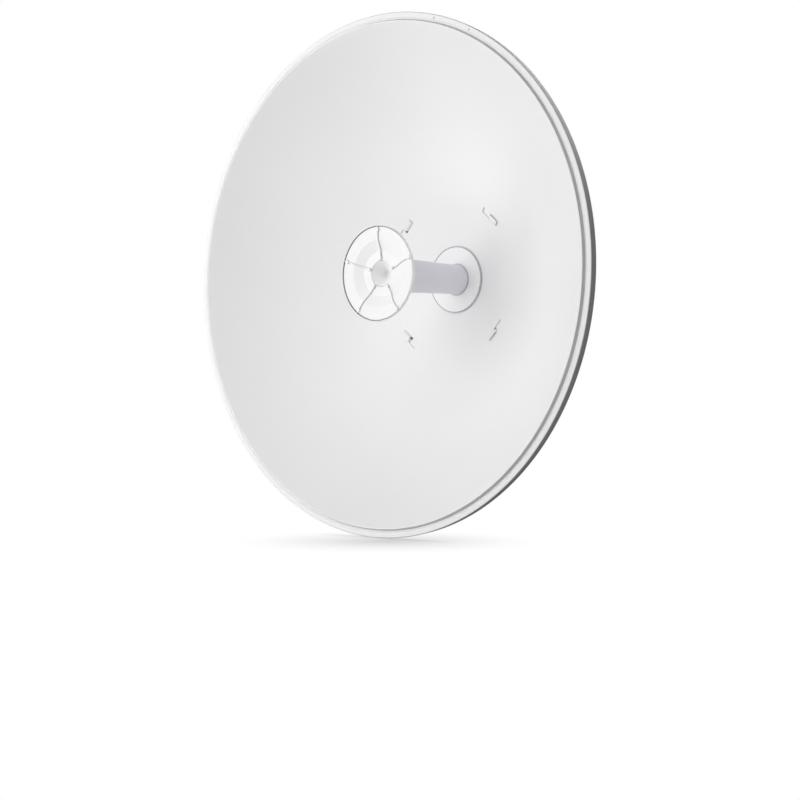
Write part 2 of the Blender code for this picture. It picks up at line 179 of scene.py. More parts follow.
# Bolts, nuts and washers. A pair is the length under the head and the plain part of it.
BOLT_RADIUS = 4.0
BOLT_HOLE_RADIUS = 4.3
HEX_FLAT = 6.495
HEAD_HEIGHT = 5.3
NUT_HEIGHT = 6.5
THREAD_PITCH = 1.25
THREAD_DEPTH = 0.55
WASHER_RADIUS = 8.0
HUB_BOLT = (9.5, 2.0)
EAR_BOLT = (16.0, 5.0)
CLAMP_BOLT_X = 41.0
CLAMP_BOLT_END = 84.0
CLAMP_THREAD = 44.0

# The photograph's frame and the place of the middle of the rim in it, in pixels.
PHOTO_SIDE = 800.0
RIM_MIDDLE_IN_PHOTO = (378.3, 273.35)

# Azimuth, elevation and share of the far lights in front, which stand for light off the
# white floor, and azimuth and elevation of those behind.
FRONT_LIGHTS = ((-75, -25, 1.5), (-50, -25, 0.5), (0, -25, 1.5), (25, -25, 0.7))
FRONT_LIGHTS += ((50, -25, 0.95), (50, 10, 1.0))
REAR_LIGHTS = ((180, 35), (-140, 15), (-165, 8))

# Far lights and the floor, in metres.
FRONT_LIGHT_DISTANCE = 2.4
FRONT_LIGHT_SIZE = 1.2
REAR_LIGHT_DISTANCE = 2.6
REAR_LIGHT_SIZE = 1.6
FLOOR_HALF_SIDE = 4.0

# Painted shadow on the floor: its middle on the floor and its reach, in metres, how fast it falls
# and how deep it is, and the narrower painted shadow where the rim touches the floor.
SHADE_MIDDLE = (0.042, FLANGE_Y * MM - 0.029)
SHADE_REACH = 0.19
SHADE_FALL = 1.6
SHADE_DEPTH = 0.36
CONTACT_REACH = 0.02
CONTACT_DEPTH = 0.2

# Colours as a socket takes them.
WHITE = (1.0, 1.0, 1.0, 1.0)
BLACK = (0.0, 0.0, 0.0, 1.0)
# Colour of the painted shade in hollows and gaps.
HOLLOW_SHADE_COLOUR = (0.16, 0.16, 0.19, 1.0)


class DishSizes(bpy.types.PropertyGroup):
    """Sizes of the finished surface that the plain solids leave open."""

    segments: IntProperty(
        name="Dish segments",
        description="Steps round the reflector",
        default=288,
        min=72,
        max=512,
    )
    corner_steps: IntProperty(
        name="Corner steps",
        description="Faces along each rounded corner",
        default=5,
        min=2,
        max=12,
    )
    crest_radius: FloatProperty(
        name="Crest radius",
        description="Rounding of the crest inside the rim, in millimetres",
        default=1.1,
        min=0.3,
        max=2.0,
    )
    lip_radius: FloatProperty(
        name="Lip radius",
        description="Rounding of the outer edge of the rim, in millimetres",
        default=1.3,
        min=0.3,
        max=3.0,
    )
    bend_radius: FloatProperty(
        name="Bend radius",
        description="Inner radius of the folded brackets, in millimetres",
        default=1.8,
        min=0.5,
        max=4.0,
    )
    edge_break: FloatProperty(
        name="Edge break",
        description="Softened edge of the cut sheet steel, in millimetres",
        default=0.4,
        min=0.05,
        max=1.0,
    )
    washer: FloatProperty(
        name="Washer thickness",
        description="Thickness of the plain washers, in millimetres",
        default=1.6,
        min=0.5,
        max=3.0,
    )


class DishFinishes(bpy.types.PropertyGroup):
    """Colours and grain of the finishes."""

    paint: FloatVectorProperty(
        name="Paint",
        description="Powder coat of the reflector",
        subtype="COLOR",
        size=3,
        default=(0.868, 0.866, 0.872),
        min=0.0,
        max=1.0,
    )
    plastic: FloatVectorProperty(
        name="White plastic",
        description="Mouldings of the feed",
        subtype="COLOR",
        size=3,
        default=(0.92, 0.915, 0.922),
        min=0.0,
        max=1.0,
    )
    # Painted shade: the tube gets a darker, bluer colour than the white mouldings to carry the
    # shade that falls on it.
    tube: FloatVectorProperty(
        name="Tube plastic",
        description="Bluish moulding of the feed tube",
        subtype="COLOR",
        size=3,
        default=(0.755, 0.757, 0.81),
        min=0.0,
        max=1.0,
    )
    zinc: FloatVectorProperty(
        name="Galvanised steel",
        description="Zinc on the folded brackets",
        subtype="COLOR",
        size=3,
        default=(0.58, 0.6, 0.62),
        min=0.0,
        max=1.0,
    )
    bolts: FloatVectorProperty(
        name="Plated steel",
        description="Plating of the bolts, nuts and washers",
        subtype="COLOR",
        size=3,
        default=(0.66, 0.67, 0.68),
        min=0.0,
        max=1.0,
    )
    nickel: FloatVectorProperty(
        name="Nickel",
        description="Plating of the signal sockets",
        subtype="COLOR",
        size=3,
        default=(0.72, 0.69, 0.62),
        min=0.0,
        max=1.0,
    )
    peel: FloatProperty(
        name="Orange peel",
        description="Waves of the powder coat in a metre",
        default=520.0,
        min=50.0,
        max=2000.0,
    )
    spangle: FloatProperty(
        name="Spangle",
        description="Zinc crystals in a metre",
        default=210.0,
        min=20.0,
        max=800.0,
    )


class DishStudio(bpy.types.PropertyGroup):
    """Camera and lights, in metres, watts and degrees."""

    azimuth: FloatProperty(
        name="Azimuth",
        description="Turn of the camera from straight in front, in degrees",
        default=42.97,
    )
    elevation: FloatProperty(
        name="Elevation",
        description="Rise of the camera over the middle of the dish, in degrees",
        default=-4.28,
    )
    distance: FloatProperty(
        name="Distance",
        description="From the camera to the middle of the rim",
        default=2.228,
        unit="LENGTH",
    )
    focal_pixels: FloatProperty(
        name="Focal length",
        description="Focal length of the photograph, in pixels",
        default=1800.0,
    )
    key: FloatProperty(
        name="Key",
        description="Near light in front on the left",
        default=8.4,
        unit="POWER",
    )
    fill: FloatProperty(
        name="Fill",
        description="Large near light in front over the dish",
        default=7.0,
        unit="POWER",
    )
    bounce: FloatProperty(
        name="Bounce",
        description="Each far light in front",
        default=4.2,
        unit="POWER",
    )
    rear: FloatProperty(
        name="Rear",
        description="Each light behind the dish",
        default=20.0,
        unit="POWER",
    )
    ambient: FloatProperty(
        name="Ambient",
        description="Strength of the even light from all round",
        default=0.089,
    )


class Wire:
    """An output of a node. Arithmetic on it adds Math nodes."""

    def __init__(self, finish, socket):
        self.finish = finish
        self.socket = socket

    def math(self, operation, *values):
        return self.finish.math(operation, *values)

    def __add__(self, other):
        return self.math("ADD", self, other)

    __radd__ = __add__

    def __sub__(self, other):
        return self.math("SUBTRACT", self, other)

    def __rsub__(self, other):
        return self.math("SUBTRACT", other, self)

    def __mul__(self, other):
        return self.math("MULTIPLY", self, other)

    __rmul__ = __mul__

    def __truediv__(self, other):
        return self.math("DIVIDE", self, other)

    def __pow__(self, other):
        return self.math("POWER", self, other)


class Finish:
    """A material round one Principled shader."""

    def __init__(self, name):
        self.material = bpy.data.materials.new(name)
        self.material.use_nodes = True
        self.tree = self.material.node_tree
        self.shader = self.tree.nodes["Principled BSDF"]
        self.place = self.node("ShaderNodeTexCoord", {}, {}, "Object")

    def fill(self, target, values):
        """Gives each named input of a node its value, or links it."""
        for key, value in values.items():
            if isinstance(value, Wire):
                self.tree.links.new(value.socket, target.inputs[key])
            else:
                target.inputs[key].default_value = value

    def node(self, kind, settings, values, output=0):
        """Adds a node: its settings first, then the values or links of its sockets."""
        made = self.tree.nodes.new(kind)
        for name, value in settings.items():
            setattr(made, name, value)
        self.fill(made, values)
        return Wire(self, made.outputs[output])

    def math(self, operation, *values):
        numbered = dict(enumerate(values))
        return self.node("ShaderNodeMath", {"operation": operation}, numbered)

    def vector(self, operation, *values, output=0):
        """Vector Math: lengths and dot products come from output 1."""
        numbered = dict(enumerate(values))
        return self.node("ShaderNodeVectorMath", {"operation": operation}, numbered, output)

    def noise(self, scale, detail=2.0, place=None, roughness=0.5):
        """Noise as one value."""
        values = {"Vector": place or self.place, "Scale": scale, "Detail": detail}
        values["Roughness"] = roughness
        return self.node("ShaderNodeTexNoise", {}, values)

    def mix(self, factor, first, second):
        """Blends two colours."""
        values = {0: factor, 6: first, 7: second}
        return self.node("ShaderNodeMix", {"data_type": "RGBA"}, values, 2)

    def stretched(self, scale):
        """Places squeezed by this scale, which draws a pattern out where it is small."""
        return self.vector("MULTIPLY", self.place, scale)

    def range(self, value, low, high):
        """Rises smoothly from 0 to 1 while the value goes from low to high."""
        values = {"Value": value, "From Min": low, "From Max": high}
        settings = {"interpolation_type": "SMOOTHSTEP"}
        return self.node("ShaderNodeMapRange", settings, values)

    def openness(self, reach, samples):
        """How free the space within this reach is, from 0 to 1."""
        settings = {"samples": samples}
        return self.node("ShaderNodeAmbientOcclusion", settings, {"Distance": reach}, "AO")

    def shaded_in_hollows(self, base, reach, clear=0.8, depth=0.85):
        """Painted shade: darkens the colour wherever the space within this reach is less open than
        clear, in hollows, gaps and corners.
        """
        hollow_shade = 1.0 - self.range(self.openness(reach, 8), 0.05, clear)
        return self.mix(hollow_shade * depth, base, HOLLOW_SHADE_COLOUR)

    def faces_outward(self, inner):
        """One where a face turns away from the dish's axis, past this radius: the mask of the
        painted shade on the rim's outer walls.
        """
        from_axis = self.vector("MULTIPLY", self.place, (1.0, 0.0, 1.0))
        facing = self.node("ShaderNodeNewGeometry", {}, {}, "Normal")
        along = self.vector("DOT_PRODUCT", from_axis, facing, output=1)
        radius = self.vector("LENGTH", from_axis, output=1)
        turned_out = self.range(along / radius, 0.4, 0.75)
        return turned_out * self.range(radius, inner, inner + MM)

    def bump(self, height, strength, distance):
        """A normal from a height, with distance in metres."""
        values = {"Height": height, "Strength": strength, "Distance": distance}
        return self.node("ShaderNodeBump", {}, values)

    def done(self, **values):
        """Fills the sockets of the shader, whose names are given with underscores."""
        named = {key.replace("_", " "): value for key, value in values.items()}
        self.fill(self.shader, named)
        return self.material


def shade(colour, factor):
    """A colour made lighter or darker, as a socket takes it."""
    return (*[min(1.0, part * factor) for part in colour], 1.0)


def paint_finish(name, colours):
    """Satin powder coat: orange peel, faint clouds and uneven gloss, with painted shade in hollows
    and a greyer outer edge that is painted shade on the rim's outward-facing walls.
    """
    finish = Finish(name)
    clouds = finish.noise(7.0, 3.0)
    grain = finish.noise(colours.peel, 2.0)
    dust = finish.range(finish.noise(2600.0, 1.0), 0.66, 0.78)
    base = finish.mix(clouds, shade(colours.paint, 0.985), shade(colours.paint, 1.012))
    speckled = finish.mix(dust * 0.25, base, shade(colours.paint, 0.9))
    # Painted shade: the rim's walls that face away from the axis are made greyer.
    edge = finish.faces_outward(BOWL_EDGE * MM)
    outer_walls_shaded = finish.mix(edge, speckled, shade(colours.paint, 0.71))
    return finish.done(
        Base_Color=finish.shaded_in_hollows(outer_walls_shaded, 0.004, 0.65),
        Roughness=0.36 + grain * 0.1 + clouds * 0.04,
        Normal=finish.bump(grain, 0.12, 0.0003),
    )


def plastic_finish(name, colour, reach=0.004, clear=0.8, depth=0.85):
    """Moulded plastic: fine matt grain, soft flow marks, a slight warm or cool drift and painted
    shade in hollows.
    """
    finish = Finish(name)
    flow = finish.noise(16.0, 3.0, finish.stretched((1.0, 0.25, 1.0)), 0.6)
    grain = finish.noise(1500.0, 2.0)
    marks = finish.noise(160.0, 2.0, finish.stretched((1.0, 0.15, 1.0)))
    base = finish.mix(flow, shade(colour, 0.975), shade(colour, 1.015))
    return finish.done(
        Base_Color=finish.shaded_in_hollows(base, reach, clear, depth),
        Roughness=0.36 + grain * 0.12 + flow * 0.05,
        Normal=finish.bump(grain * 0.7 + marks * 0.3, 0.1, 0.0002),
    )


def zinc_finish(name, colours):
    """Galvanised steel: crystals of unlike grey and gloss, drips, a little white bloom and painted
    shade in hollows.
    """
    finish = Finish(name)
    wide = {"Vector": finish.place, "Scale": 90.0}
    swirl = finish.node("ShaderNodeTexNoise", {}, wide, "Color")
    push = finish.node("ShaderNodeVectorMath", {"operation": "SCALE"}, {0: swirl, "Scale": 0.006})
    crystals = {"Vector": finish.vector("ADD", finish.place, push), "Scale": colours.spangle}
    cells = finish.node("ShaderNodeTexVoronoi", {}, crystals, "Color")
    tone = finish.node("ShaderNodeSeparateColor", {}, {"Color": cells}, 0)
    gloss = finish.node("ShaderNodeSeparateColor", {}, {"Color": cells}, 1)
    edges = finish.node("ShaderNodeTexVoronoi", {"feature": "DISTANCE_TO_EDGE"}, crystals)
    bloom = finish.range(finish.noise(34.0, 5.0, None, 0.65), 0.56, 0.74)
    fine = finish.noise(1900.0, 2.0)
    base = finish.mix(tone, shade(colours.zinc, 0.8), shade(colours.zinc, 1.16))
    dull = finish.mix(bloom * 0.45, base, (0.7, 0.71, 0.71, 1.0))
    border = 1.0 - finish.range(edges, 0.0, 0.06)
    return finish.done(
        Base_Color=finish.shaded_in_hollows(dull, 0.005, 0.8, 0.7),
        Metallic=0.6 - bloom * 0.3,
        Roughness=0.34 + gloss * 0.18 + bloom * 0.22,
        Normal=finish.bump(fine * 0.3 + border * 0.25 + tone * 0.4, 0.22, 0.0002),
    )


def plated_finish(name, colour, tint):
    """Bright plating with fine turning marks, a faint coloured drift and painted shade in hollows.
    """
    finish = Finish(name)
    drift = finish.noise(120.0, 3.0)
    scratches = finish.noise(900.0, 3.0, finish.stretched((1.0, 0.2, 1.0)))
    stains = finish.range(finish.noise(260.0, 4.0), 0.55, 0.75)
    base = finish.mix(drift, shade(colour, 0.9), shade(tint, 1.0))
    worn = finish.mix(stains * 0.35, base, shade(colour, 0.62))
    return finish.done(
        Base_Color=finish.shaded_in_hollows(worn, 0.003, 0.8, 0.7),
        Metallic=1.0,
        Roughness=0.2 + scratches * 0.16 + stains * 0.16,
        Normal=finish.bump(scratches, 0.12, 0.0001),
    )


def insert_finish(name):
    """White insulator of a signal socket."""
    finish = Finish(name)
    grain = finish.noise(1400.0, 2.0)
    base = finish.mix(grain, (0.82, 0.81, 0.78, 1.0), (0.9, 0.89, 0.87, 1.0))
    return finish.done(Base_Color=base, Roughness=0.4 + grain * 0.15)


def floor_finish(name):
    """White studio floor with a soft painted shadow under the dish."""
    finish = Finish(name)
    offset = finish.vector("SUBTRACT", finish.place, (*SHADE_MIDDLE, 0.0))
    away = finish.vector("LENGTH", offset, output=1)
    near = finish.math("MAXIMUM", 1.0 - away / SHADE_REACH, 0.0)
    contact = 1.0 - finish.openness(CONTACT_REACH, 12)
    # Painted shadow: darker near the dish and where the rim meets the floor.
    darkness = near**SHADE_FALL * SHADE_DEPTH + contact * CONTACT_DEPTH
    glow = finish.mix(darkness, WHITE, (0.0, 0.0, 0.01, 1.0))
    finish.shader.inputs["Emission Strength"].default_value = 1.0
    finish.shader.inputs["Specular IOR Level"].default_value = 0.0
    return finish.done(Base_Color=BLACK, Roughness=1.0, Emission_Color=glow)


def look(slot):
    """The finish of a material slot, made once."""
    made = bpy.data.materials.get(slot + "_finish")
    if made:
        return made
    colours = bpy.context.scene.dish_finishes
    name = slot + "_finish"
    if slot == "white_paint":
        return paint_finish(name, colours)
    if slot == "white_plastic":
        return plastic_finish(name, colours.plastic)
    if slot == "pit_shade_plastic":
        # Painted shade: white plastic darkened far into the hollow of the feed's pit.
        return plastic_finish(name, colours.plastic, 0.02, 1.0, 0.78)
    # The tube's darker, bluer colour is painted shade.
    if slot == "tube_plastic":
        return plastic_finish(name, colours.tube)
    if slot == "zinc_steel":
        return zinc_finish(name, colours)
    if slot == "bolt_steel":
        return plated_finish(name, colours.bolts, (0.72, 0.7, 0.62))
    if slot == "nickel":
        return plated_finish(name, colours.nickel, (0.78, 0.74, 0.64))
    return insert_finish(name)


def bowl_depth(radius):
    """Depth of the paraboloid at this radius."""
    return VERTEX_DEPTH - radius * radius / (4.0 * FOCAL_LENGTH)


def bowl_slope(radius):
    """Tilt of the bowl's surface at this radius, in radians."""
    return math.atan(radius / (2.0 * FOCAL_LENGTH))


def behind_bowl(radius, offset):
    """Depth at this radius of the surface that lies this far behind the front of the bowl."""
    return bowl_depth(radius) + offset / math.cos(bowl_slope(radius))


def steps_between(low, high, count):
    """Values from low to high in this many equal steps."""
    return [low + (high - low) * step / count for step in range(count + 1)]


def fillet(before, corner, after, radius, steps):
    """Points of the arc that rounds a corner of an outline."""
    corner = Vector(corner)
    back = Vector(before) - corner
    ahead = Vector(after) - corner
    half = back.angle(ahead) / 2.0
    reach = min(radius / math.tan(half), 0.49 * back.length, 0.49 * ahead.length)
    radius = reach * math.tan(half)
    back.normalize()
    ahead.normalize()
    middle = corner + (back + ahead).normalized() * (radius / math.sin(half))
    start = corner + back * reach - middle
    end = corner + ahead * reach - middle
    first = math.atan2(start.y, start.x)
    sweep = (math.atan2(end.y, end.x) - first + math.pi) % math.tau - math.pi
    points = []
    for step in range(steps + 1):
        turn = first + sweep * step / steps
        points.append((middle.x + radius * math.cos(turn), middle.y + radius * math.sin(turn)))
    return points


def rounded(corners):
    """An outline whose corners (u, v, radius) are arcs. A corner without a radius stays."""
    steps = bpy.context.scene.dish_sizes.corner_steps
    points = []
    count = len(corners)
    for index, corner in enumerate(corners):
        if len(corner) == 2:
            points.append(corner)
            continue
        before = corners[index - 1][:2]
        after = corners[(index + 1) % count][:2]
        points += fillet(before, corner[:2], after, corner[2], steps)
    return points


def spot(radius, depth, turn):
    """A point of the dish in metres: turn runs clockwise from the top seen from in front."""
    place = (radius * math.sin(turn), FLANGE_Y + depth, radius * math.cos(turn))
    return Vector(place) * MM


def join_rings(work, rings, closed):
    """Faces between neighbouring rings. A ring of one vertex closes its end in a fan."""
    pairs = list(zip(rings, rings[1:]))
    if closed:
        pairs.append((rings[-1], rings[0]))
    for first, second in pairs:
        count = max(len(first), len(second))
        for step in range(count):
            after = (step + 1) % count
            corners = [first[step % len(first)]]
            if len(first) > 1:
                corners.append(first[after])
            if len(second) > 1:
                corners.append(second[after])
            corners.append(second[step % len(second)])
            work.faces.new(corners)


def turned(profile, segments, closed, flute=None):
    """A shape turned about the dish axis from (radius, depth) points.

    flute, where given, says how far a point lies inside its radius, from its depth and turn.
    """
    work = bmesh.new()
    rings = []
    for radius, depth in profile:
        if radius == 0.0:
            rings.append([work.verts.new(spot(0.0, depth, 0.0))])
            continue
        ring = []
        for step in range(segments):
            turn = math.tau * step / segments
            reach = radius - flute(radius, depth, turn) if flute else radius
            ring.append(work.verts.new(spot(reach, depth, turn)))
        rings.append(ring)
    join_rings(work, rings, closed)
    return work


def extruded(outline, low, high, place, edge=0.0):
    """An outline of (u, v) drawn out from low to high, with its edges softened."""
    work = bmesh.new()
    ends = []
    for level in (low, high):
        ends.append([work.verts.new(place(u, v, level)) for u, v in outline])
    work.faces.new(ends[0])
    work.faces.new(ends[1])
    count = len(outline)
    for index in range(count):
        after = (index + 1) % count
        work.faces.new((ends[0][index], ends[0][after], ends[1][after], ends[1][index]))
    bmesh.ops.recalc_face_normals(work, faces=work.faces)
    if edge:
        break_edges(work, edge)
    return work


def break_edges(work, width):
    """Bevels the sharp edges of a shape that isn't an object yet."""
    sharp = [seam for seam in work.edges if seam.calc_face_angle(0.0) > math.radians(32.0)]
    bmesh.ops.bevel(
        work, geom=sharp, offset=width * MM, segments=2, profile=0.5, affect="EDGES"
    )


def along_x(y, z, x):
    """Places an outline of (y, z) at this level of x."""
    return Vector((x, y, z)) * MM


def along_y(x, z, y):
    """Places an outline of (x, z) at this level of y."""
    return Vector((x, y, z)) * MM


def along_z(x, y, z):
    """Places an outline of (x, y) at this level of z."""
    return Vector((x, y, z)) * MM


def circle(u, v, radius, count=32):
    """A round outline, whose points lie half a step off the first axis."""
    spots = []
    for step in range(count):
        turn = math.tau * (step + 0.5) / count
        spots.append((u + radius * math.sin(turn), v + radius * math.cos(turn)))
    return spots


def rectangle(low_u, low_v, high_u, high_v):
    """Four corners between two opposite ones."""
    return ((low_u, low_v), (high_u, low_v), (high_u, high_v), (low_u, high_v))


def merged(shapes):
    """Several shapes as one, with no shape joined to another."""
    whole = bmesh.new()
    for work in shapes:
        mesh = bpy.data.meshes.new("part_of_whole")
        work.to_mesh(mesh)
        work.free()
        whole.from_mesh(mesh)
        bpy.data.meshes.remove(mesh)
    return whole


def new_object(name, work):
    """Turns a shape into an object, with its faces looking out."""
    bmesh.ops.recalc_face_normals(work, faces=work.faces)
    mesh = bpy.data.meshes.new(name)
    work.to_mesh(mesh)
    work.free()
    item = bpy.data.objects.new(name, mesh)
    bpy.context.scene.collection.objects.link(item)
    return item


def settle(item):
    """Makes what the modifiers show the object's own mesh."""
    graph = bpy.context.evaluated_depsgraph_get()
    plain = item.data
    item.data = bpy.data.meshes.new_from_object(item.evaluated_get(graph), depsgraph=graph)
    item.modifiers.clear()
    bpy.data.meshes.remove(plain)


def combine(item, operation, *shapes):
    """Cuts other shapes from an object, adds them to it or keeps what they share."""
    for work in shapes:
        other = new_object("tool_for_" + item.name, work)
        step = item.modifiers.new("combine", "BOOLEAN")
        step.operation = operation
        step.solver = "EXACT"
        step.object = other
        settle(item)
        tool = other.data
        bpy.data.objects.remove(other, do_unlink=True)
        bpy.data.meshes.remove(tool)


def soften(item, width, segments=2):
    """Rounds every sharp edge of an object a little."""
    step = item.modifiers.new("edge", "BEVEL")
    step.width = width * MM
    step.segments = segments
    step.limit_method = "ANGLE"
    step.angle_limit = math.radians(32.0)
    step.use_clamp_overlap = True
    settle(item)


def dress(item, slot, *nodes, angle=32.0):
    """Shades a finished piece, gives it its finish and lets it stand for its plain solids."""
    mesh = item.data
    mesh.validate()
    mesh.shade_smooth()
    mesh.set_sharp_from_angle(angle=math.radians(angle))
    even = item.modifiers.new("even_normals", "WEIGHTED_NORMAL")
    even.keep_sharp = True
    if not mesh.materials:
        mesh.materials.append(look(slot))
    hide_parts(*nodes)
    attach(item, "root")
    return item


def bowl_frame(degrees):
    """Placing at a hook: u runs clockwise seen from in front, v out of the bowl, w up it."""
    turn = math.radians(degrees)
    tilt = bowl_slope(HOOK_CIRCLE)
    middle = spot(HOOK_CIRCLE, bowl_depth(HOOK_CIRCLE), turn) / MM
    outward = Vector((math.sin(turn), 0.0, math.cos(turn)))
    clockwise = Vector((math.cos(turn), 0.0, -math.sin(turn)))
    up_slope = outward * math.cos(tilt) + Vector((0.0, -math.sin(tilt), 0.0))
    normal = outward * -math.sin(tilt) + Vector((0.0, -math.cos(tilt), 0.0))

    def place(u, v, w):
        return (middle + clockwise * u + normal * v + up_slope * w) * MM

    return place


def hub_bolt_spots():
    """Middles of the four bolts through the hub plate, across and up."""
    step = HUB_BOLT_OFFSET
    return ((-step, step), (step, step), (step, -step), (-step, -step))


def clamp_bolt_spots():
    """Middles of the four clamp bolts, across and up."""
    side, high = CLAMP_BOLT_X, JAW_Z
    return ((-side, high), (side, high), (side, -high), (-side, -high))


def rim_profile(sizes):
    """The rolled rim in one closed outline: crest, step, flange, outer lip and back."""
    front = (
        (BOWL_EDGE, bowl_depth(BOWL_EDGE)),
        (313.9, -3.3, sizes.crest_radius),
        (315.9, 1.4, 0.5),
        (317.0, 1.4, 0.5),
        (318.6, 0.0, 0.8),
        (RIM_RADIUS, 0.0, sizes.lip_radius),
        (RIM_RADIUS - 1.0, RIM_DEPTH, 0.7),
    )
    back = (
        (RIM_RADIUS - 2.9, RIM_DEPTH, 0.7),
        (RIM_RADIUS - 2.0, SHEET, 0.8),
        (319.0, SHEET, 0.5),
        (317.8, 3.2, 0.6),
        (315.2, 3.2, 0.6),
        (312.9, -0.8, 0.5),
        (BOWL_EDGE + 1.2, bowl_depth(BOWL_EDGE) + 1.55),
    )
    return rounded(front + back)


class DISH_OT_reflector(bpy.types.Operator):
    """Turns the painted reflector and cuts its slots and rim holes"""

    bl_idname = "dish.reflector"
    bl_label = "Reflector"

    def execute(self, context):
        sizes = context.scene.dish_sizes
        radii = steps_between(CENTRE_HOLE_RADIUS + 0.5, BOWL_EDGE - 6.0, BOWL_RINGS)
        bore = CENTRE_HOLE_RADIUS
        profile = [(bore, bowl_depth(bore) + 0.5)]
        profile += [(radius, bowl_depth(radius)) for radius in radii]
        profile += rim_profile(sizes)
        for radius in reversed(radii):
            tilt = bowl_slope(radius)
            shifted = radius + SHEET * math.sin(tilt)
            profile.append((shifted, bowl_depth(radius) + SHEET * math.cos(tilt)))
        profile.append((bore, behind_bowl(bore, SHEET) - 0.5))
        dish = new_object("reflector_shell", turned(profile, sizes.segments, True))
        cutters = []
        low, high = SLOT_SPAN
        half = SLOT_WIDTH / 2.0
        slot = rounded([(*corner, SLOT_CORNER) for corner in rectangle(low, -half, high, half)])
        for degrees in HOOK_ANGLES:

            def across(u, w, v, place=bowl_frame(degrees)):
                return place(u, v, w)

            cutters.append(extruded(slot, -8.0, 8.0, across))
        for degrees in RIM_HOLE_ANGLES:
            turn = math.radians(degrees)
            middle = (RIM_HOLE_CIRCLE * math.sin(turn), RIM_HOLE_CIRCLE * math.cos(turn))
            outline = circle(*middle, RIM_HOLE_RADIUS, 24)
            cutters.append(extruded(outline, FLANGE_Y - 3.0, FLANGE_Y + 5.0, along_y))
        combine(dish, "DIFFERENCE", merged(cutters))
        dress(dish, "white_paint", "reflector", angle=40.0)
        return {"FINISHED"}


class DISH_OT_hub_plate(bpy.types.Operator):
    """Turns the pressed hub plate behind the bowl, with bolt holes and a pocket at each hook"""

    bl_idname = "dish.hub_plate"
    bl_label = "Hub plate"

    def execute(self, context):
        offset = SHEET + GAP
        back = offset + HUB_SHEET
        edge = behind_bowl(HUB_RIM, offset)
        profile = [(HUB_HOLE_RADIUS, HUB_FLOOR, 0.6), (76.0, HUB_FLOOR, 4.0)]
        profile += [(87.0, behind_bowl(87.0, offset), 6.0)]
        profile += [(radius, behind_bowl(radius, offset)) for radius in HUB_RINGS]
        profile += [(HUB_RIM + 1.2, edge - 0.4, 3.0), (HUB_RIM + 2.0, edge + 11.0, 0.8)]
        profile += [(HUB_RIM - 0.6, edge + 11.0, 0.8), (HUB_RIM - 1.0, edge + 4.2, 1.2)]
        profile += [(radius, behind_bowl(radius, back)) for radius in reversed(HUB_RINGS)]
        profile += [(89.2, behind_bowl(89.2, back), 5.0), (77.6, HUB_FLOOR + HUB_SHEET, 4.0)]
        profile += [(HUB_HOLE_RADIUS, HUB_FLOOR + HUB_SHEET, 0.8)]
        plate = new_object("pressed_hub_plate", turned(rounded(profile), 192, True))
        front = FLANGE_Y + HUB_FLOOR - 5.0
        cutters = []
        for x, z in hub_bolt_spots():
            cutters.append(extruded(circle(x, z, BOLT_HOLE_RADIUS), front, front + 14.0, along_y))
        low, high = NOTCH_SPAN
        pocket = rectangle(low, 0.5 - back, high, 0.0)
        for degrees in HOOK_ANGLES:
            cutters.append(extruded(pocket, -HOOK_WIDTH / 2.0, NOTCH_INNER, bowl_frame(degrees)))
        combine(plate, "DIFFERENCE", merged(cutters))
        dress(plate, "white_paint", "hub_plate", angle=40.0)
        return {"FINISHED"}


class DISH_OT_hooks(bpy.types.Operator):
    """Bends the four hooks that hold the bowl on the hub plate"""

    bl_idname = "dish.hooks"
    bl_label = "Hub hooks"

    def execute(self, context):
        for index, degrees in enumerate(HOOK_ANGLES):
            self.hook(index + 1, bowl_frame(degrees))
        return {"FINISHED"}

    def roll(self, half, reach, rise):
        """The arc in which a tab rolls down sideways to the bowl, from top to tip."""
        points = []
        for turn in steps_between(0.0, math.pi / 2.0, 10):
            side = ROLL_REACH - half - reach * math.sin(turn)
            points.append((side, 0.1 + rise * math.cos(turn)))
        return points

    def hook(self, number, place):
        """A foot in the slot, a web through it and a tab over the bowl, rolled on one side."""
        half = HOOK_WIDTH / 2.0
        foot = ((-14.0, -1.9), (1.6, -1.95), (1.6, 2.2), (0.6, 2.2), (-0.8, 0.4), (-0.8, -1.0))
        foot += ((-14.0, -0.9),)
        item = new_object(f"bent_hook_{number}", extruded(foot, -half + 0.01, half - 0.01, place))
        section = [(half, 1.25), (half, 2.8)]
        section += self.roll(half, ROLL_REACH, 2.7) + self.roll(half, 4.8, 1.15)[::-1]

        def along(w, v, u):
            return place(u, v + 0.0012 * u * u, w)

        tab = extruded(section, 0.55, 15.5, along)
        low, high = NOTCH_SPAN
        corner = extruded(rectangle(low, -3.0, high, 3.5), -half - 1.0, NOTCH_INNER, place)
        combine(item, "UNION", tab)
        combine(item, "DIFFERENCE", corner)
        soften(item, 0.15)
        dress(item, "white_paint", f"hub_hook_{number}")


